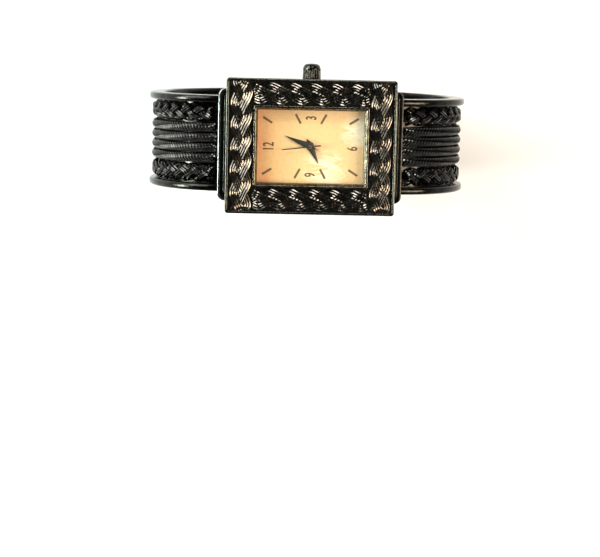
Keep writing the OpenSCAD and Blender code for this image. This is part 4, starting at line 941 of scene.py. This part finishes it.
def make_arm(side, name):
    """Rim, floor and hinge knuckles of one arm."""
    shape = Shape()
    path = rim_path()
    along = np.gradient(path, axis=0)
    along /= np.linalg.norm(along, axis=1)[:, None]
    across = np.stack([-along[:, 1], along[:, 0]], 1)
    rim = [arm_point(*(path + u * across).T, depth, side) for u, depth in rail_profile()]
    shape.loft(np.stack(rim, 1))
    floor_from, floor_to = 1.21, ARM_S - RAIL_W + 0.1
    floor = box_section(0, BAND_W / 2 - RAIL_W + 0.15, FLOOR_DEPTH + 0.1, ARM_T - 0.03)
    arm_bar(shape, np.linspace(floor_from, floor_to, 100), floor, side)
    block_from, block_to, block_top = 1.0, 1.6, 1.4
    for end in (-1, 1):
        eye_y = end * (BAND_W - RAIL_W) / 2
        eye = barrel(RAIL_W, AXIS_R, ARM_T / 2, 0.3)
        turned_shape(shape, eye, (side * HINGE_X, eye_y, HINGE_Z), closed=False)
        knuckle_y = end * (KNUCKLE_Y + KNUCKLE_L / 2)
        knuckle = barrel(KNUCKLE_L, PIN_D / 2 + 0.03, LUG_R, 0.15)
        turned_shape(shape, knuckle, (side * HINGE_X, knuckle_y, HINGE_Z))
        block = box_section(knuckle_y, KNUCKLE_L / 2 - 0.1, block_top, ARM_T - 0.05)
        arm_bar(shape, np.linspace(block_from, block_to, 5), block, side)
    add_piece(name + "_rim_and_floor", shape, SHADED_ARM_METAL, name + "_cuff", [name + "_arm"])


def make_ropes(side, name):
    """Four twisted ropes of five strands along the middle of an arm.

    lay is the length in which a strand goes once round, and stagger is the turn from one rope to the next.
    """
    pitch = ROPE_FIELD / ROPE_COUNT
    strands, lay, strand_r = 5, 3.3, 0.26
    steps_per_lay, stagger = 13, 0.37
    tuck_l, tucked = 1.0, 0.55
    gap = 0.02
    half_y = pitch / 2 - gap - strand_r
    half_d = (FLOOR_DEPTH - ROPE_DROP) / 2 - strand_r
    middle = (FLOOR_DEPTH + ROPE_DROP) / 2
    s = np.linspace(BRAID_FROM_S, BRAID_TO_S, int((BRAID_TO_S - BRAID_FROM_S) / lay * steps_per_lay))
    tuck = smooth_step(np.minimum(s - s[0], s[-1] - s) / tuck_l)
    for i in range(ROPE_COUNT):
        shape = Shape()
        y = (i - (ROPE_COUNT - 1) / 2) * pitch
        for k in range(strands):
            turn = 2 * np.pi * (s / lay + k / strands + stagger * i)
            depth = middle - half_d * np.cos(turn) * (tucked + (1 - tucked) * tuck)
            path = arm_point(s, y + half_y * np.sin(turn), depth, side)
            tube_shape(shape, path, arm_normal(s, side), strand_r, sides=7)
        replaced = [name + "_ropes"] if i == 0 else []
        add_piece(f"{name}_rope_{i + 1}", shape, SHADED_ROPE_WIRE, name + "_cuff", replaced)


def make_arm_plaits(side, name):
    """Two plaits of fine wires along the edges of an arm. The one on the 3 side is turned end for end."""
    gap = 0.03
    width = (BAND_W - 2 * RAIL_W - ROPE_FIELD) / 2 - 2 * gap
    centre = (ROPE_FIELD + width) / 2 + gap
    length = BRAID_TO_S - BRAID_FROM_S
    height = FLOOR_DEPTH - ROPE_DROP
    wire_r, apart, lap, step = 0.17, 0.38, 8.4, 0.3
    for k, end in enumerate((-1, 1)):
        shape = Shape()
        for line in plait_wires(length, width, height, wire_r, apart, lap, step, seed=11 + k):
            s = BRAID_FROM_S + (length - line[:, 0] if end > 0 else line[:, 0])
            path = arm_point(s, end * centre + line[:, 1], FLOOR_DEPTH - line[:, 2], side)
            tube_shape(shape, path, arm_normal(s, side), wire_r, sides=6)
        replaced = [name + "_plaits"] if k == 0 else []
        add_piece(f"{name}_plait_{k + 1}", shape, SHADED_ROPE_WIRE, name + "_cuff", replaced)


def make_hinge_hardware(side, name):
    """Pin with domed ends and the spring wound round it."""
    rows = barrel(BAND_W - 0.4, AXIS_R, PIN_D / 2, 0.12)
    pin = turned_shape(Shape(), rows, (side * HINGE_X, 0, HINGE_Z), sides=32, closed=False)
    add_piece(name + "_pin", pin, BRIGHT_STEEL, "case", [name + "_hinge_pin"])
    wire_r, turns, reach = 0.15, 5, 2.35
    clear, steps_per_turn = 0.12, 24
    leg_from, leg_to = 0.3, 0.9
    r = PIN_D / 2 + clear + wire_r
    a = np.linspace(0, 2 * np.pi * turns, turns * steps_per_turn)
    turn = -np.pi / 2 - a
    u, y, w = r * np.cos(turn), -reach + 2 * reach * a / a[-1], r * np.sin(turn)
    # The legs run straight out from both ends of the winding
    u = np.concatenate([[leg_to, leg_from], u, [-leg_from, -leg_to]])
    y = np.concatenate([[-reach, -reach], y, [reach, reach]])
    w = np.concatenate([[-r, -r], w, [-r, -r]])
    path = np.stack([side * (HINGE_X + u), y, HINGE_Z + w], 1)
    ups = np.tile([0.01, 1.0, 0.02], (len(path), 1))
    spring = tube_shape(Shape(), path, ups, wire_r, sides=10)
    add_piece(name + "_spring", spring, BRIGHT_STEEL, "case", [name + "_hinge_spring"])


# Stage

def plain_white(name, colour):
    """Matt white that fades out well away from the watch, where the surroundings are as white."""
    material, tree, shader, where = base_material(name, Roughness=0.9)
    shader.inputs["Base Color"].default_value = (*colour, 1)
    away = node(tree, "ShaderNodeVectorMath", operation="LENGTH")
    link(tree, where, away.inputs[0])
    fade_from, fade_to = 200, 420
    link(tree, spread(tree, away.outputs["Value"], 1, 0, fade_from, fade_to), shader.inputs["Alpha"])
    return material


def make_floor():
    """A white plane under the watch. Its size is in metres."""
    half = 1.2
    mesh = bpy.data.meshes.new("floor")
    mesh.from_pydata([(x, y, 0) for x, y in ((-half, -half), (half, -half), (half, half), (-half, half))],
                     [], [(0, 1, 2, 3)])
    mesh.materials.append(plain_white("floor_white", (0.92, 0.92, 0.92)))
    add_object("floor", mesh)


def make_world():
    """White surroundings up to a little above the floor, under a dim ceiling."""
    world = bpy.data.worlds.new("studio")
    bpy.context.scene.world = world
    world.use_nodes = True
    tree = world.node_tree
    tree.nodes.clear()
    where = tree.nodes.new("ShaderNodeTexCoord")
    ceiling = (0.05, 0.05, 0.05)
    fade = ramp(tree, axis(tree, where.outputs["Generated"], "Z"), [(0.12, (1, 1, 1)), (0.4, ceiling)])
    light = node(tree, "ShaderNodeBackground", Strength=1.0)
    link(tree, fade, light.inputs["Color"])
    out = tree.nodes.new("ShaderNodeOutputWorld")
    link(tree, light.outputs[0], out.inputs[0])


def make_lamp(name, place, aim_y, power, level, upright, colour):
    """A soft box that faces the point at X 0 and Y aim_y, as high as the bezel's top.

    level and upright are its sides. Lengths here are in metres, and the power is in watts.
    """
    lamp = bpy.data.lights.new(name, "AREA")
    lamp.shape = "RECTANGLE"
    lamp.energy = power
    lamp.size, lamp.size_y = level, upright
    lamp.color = colour
    made = add_object(name, lamp)
    made.location = place
    aim = Vector((0, aim_y, HUB[2])) - Vector(place)
    made.rotation_euler = aim.to_track_quat("-Z", "Y").to_euler()


def make_lamps():
    """A broad cool key and a low lamp on the 12 side, a weak lamp on the 3 side and a warm one on the 6."""
    make_lamp("key_lamp", (-0.47, 0.39, 0.35), aim_y=0.39, power=6.0, level=0.6, upright=0.4,
              colour=(0.94, 1, 0.97))
    make_lamp("low_lamp", (-0.52, -0.04, 0.2), aim_y=0, power=3.6, level=0.16, upright=0.1,
              colour=(0.86, 1, 0.94))
    make_lamp("top_lamp", (0.05, 0.45, 0.5), aim_y=0, power=1.0, level=0.2, upright=0.1,
              colour=(1, 1, 1))
    make_lamp("warm_lamp", (0.36, -0.035, 0.47), aim_y=0, power=3.0, level=0.2, upright=0.3,
              colour=(1, 0.84, 0.66))


def make_camera():
    """The photograph's view, solved from the corners of the bezel, window and case."""
    turn_x, turn_y, turn_z = (math.radians(a) for a in (8.434, 2.318, -1.382))
    offset = Vector((2.053, 24.499, -323.13))
    focal_px, width_px = 1727.24, 600
    turn = Matrix.Rotation(turn_z, 3, "Z") @ Matrix.Rotation(turn_x, 3, "X") @ Matrix.Rotation(turn_y, 3, "Y")
    back = turn.transposed()
    camera = bpy.data.cameras.new("photo_camera")
    camera.sensor_width = 36
    camera.lens = focal_px / width_px * camera.sensor_width
    camera.clip_start = 0.01
    made = add_object("photo_camera", camera)
    place = Vector(HUB) - (back @ offset) * MM
    made.matrix_world = Matrix.Translation(place) @ back.to_4x4()
    bpy.context.scene.camera = made


make_camera()
dress_carried_nodes()
make_bezel()
make_bezel_plaits()
make_case()
make_case_back()
make_crown()
make_dial_bars()
make_dial_numbers()
make_hands()
for arm_side, arm_name in ((-1, "left"), (1, "right")):
    make_arm(arm_side, arm_name)
    make_ropes(arm_side, arm_name)
    make_arm_plaits(arm_side, arm_name)
    make_hinge_hardware(arm_side, arm_name)
make_floor()
make_world()
make_lamps()
bpy.context.scene.view_settings.view_transform = "Standard"

bpy.context.view_layer.update()
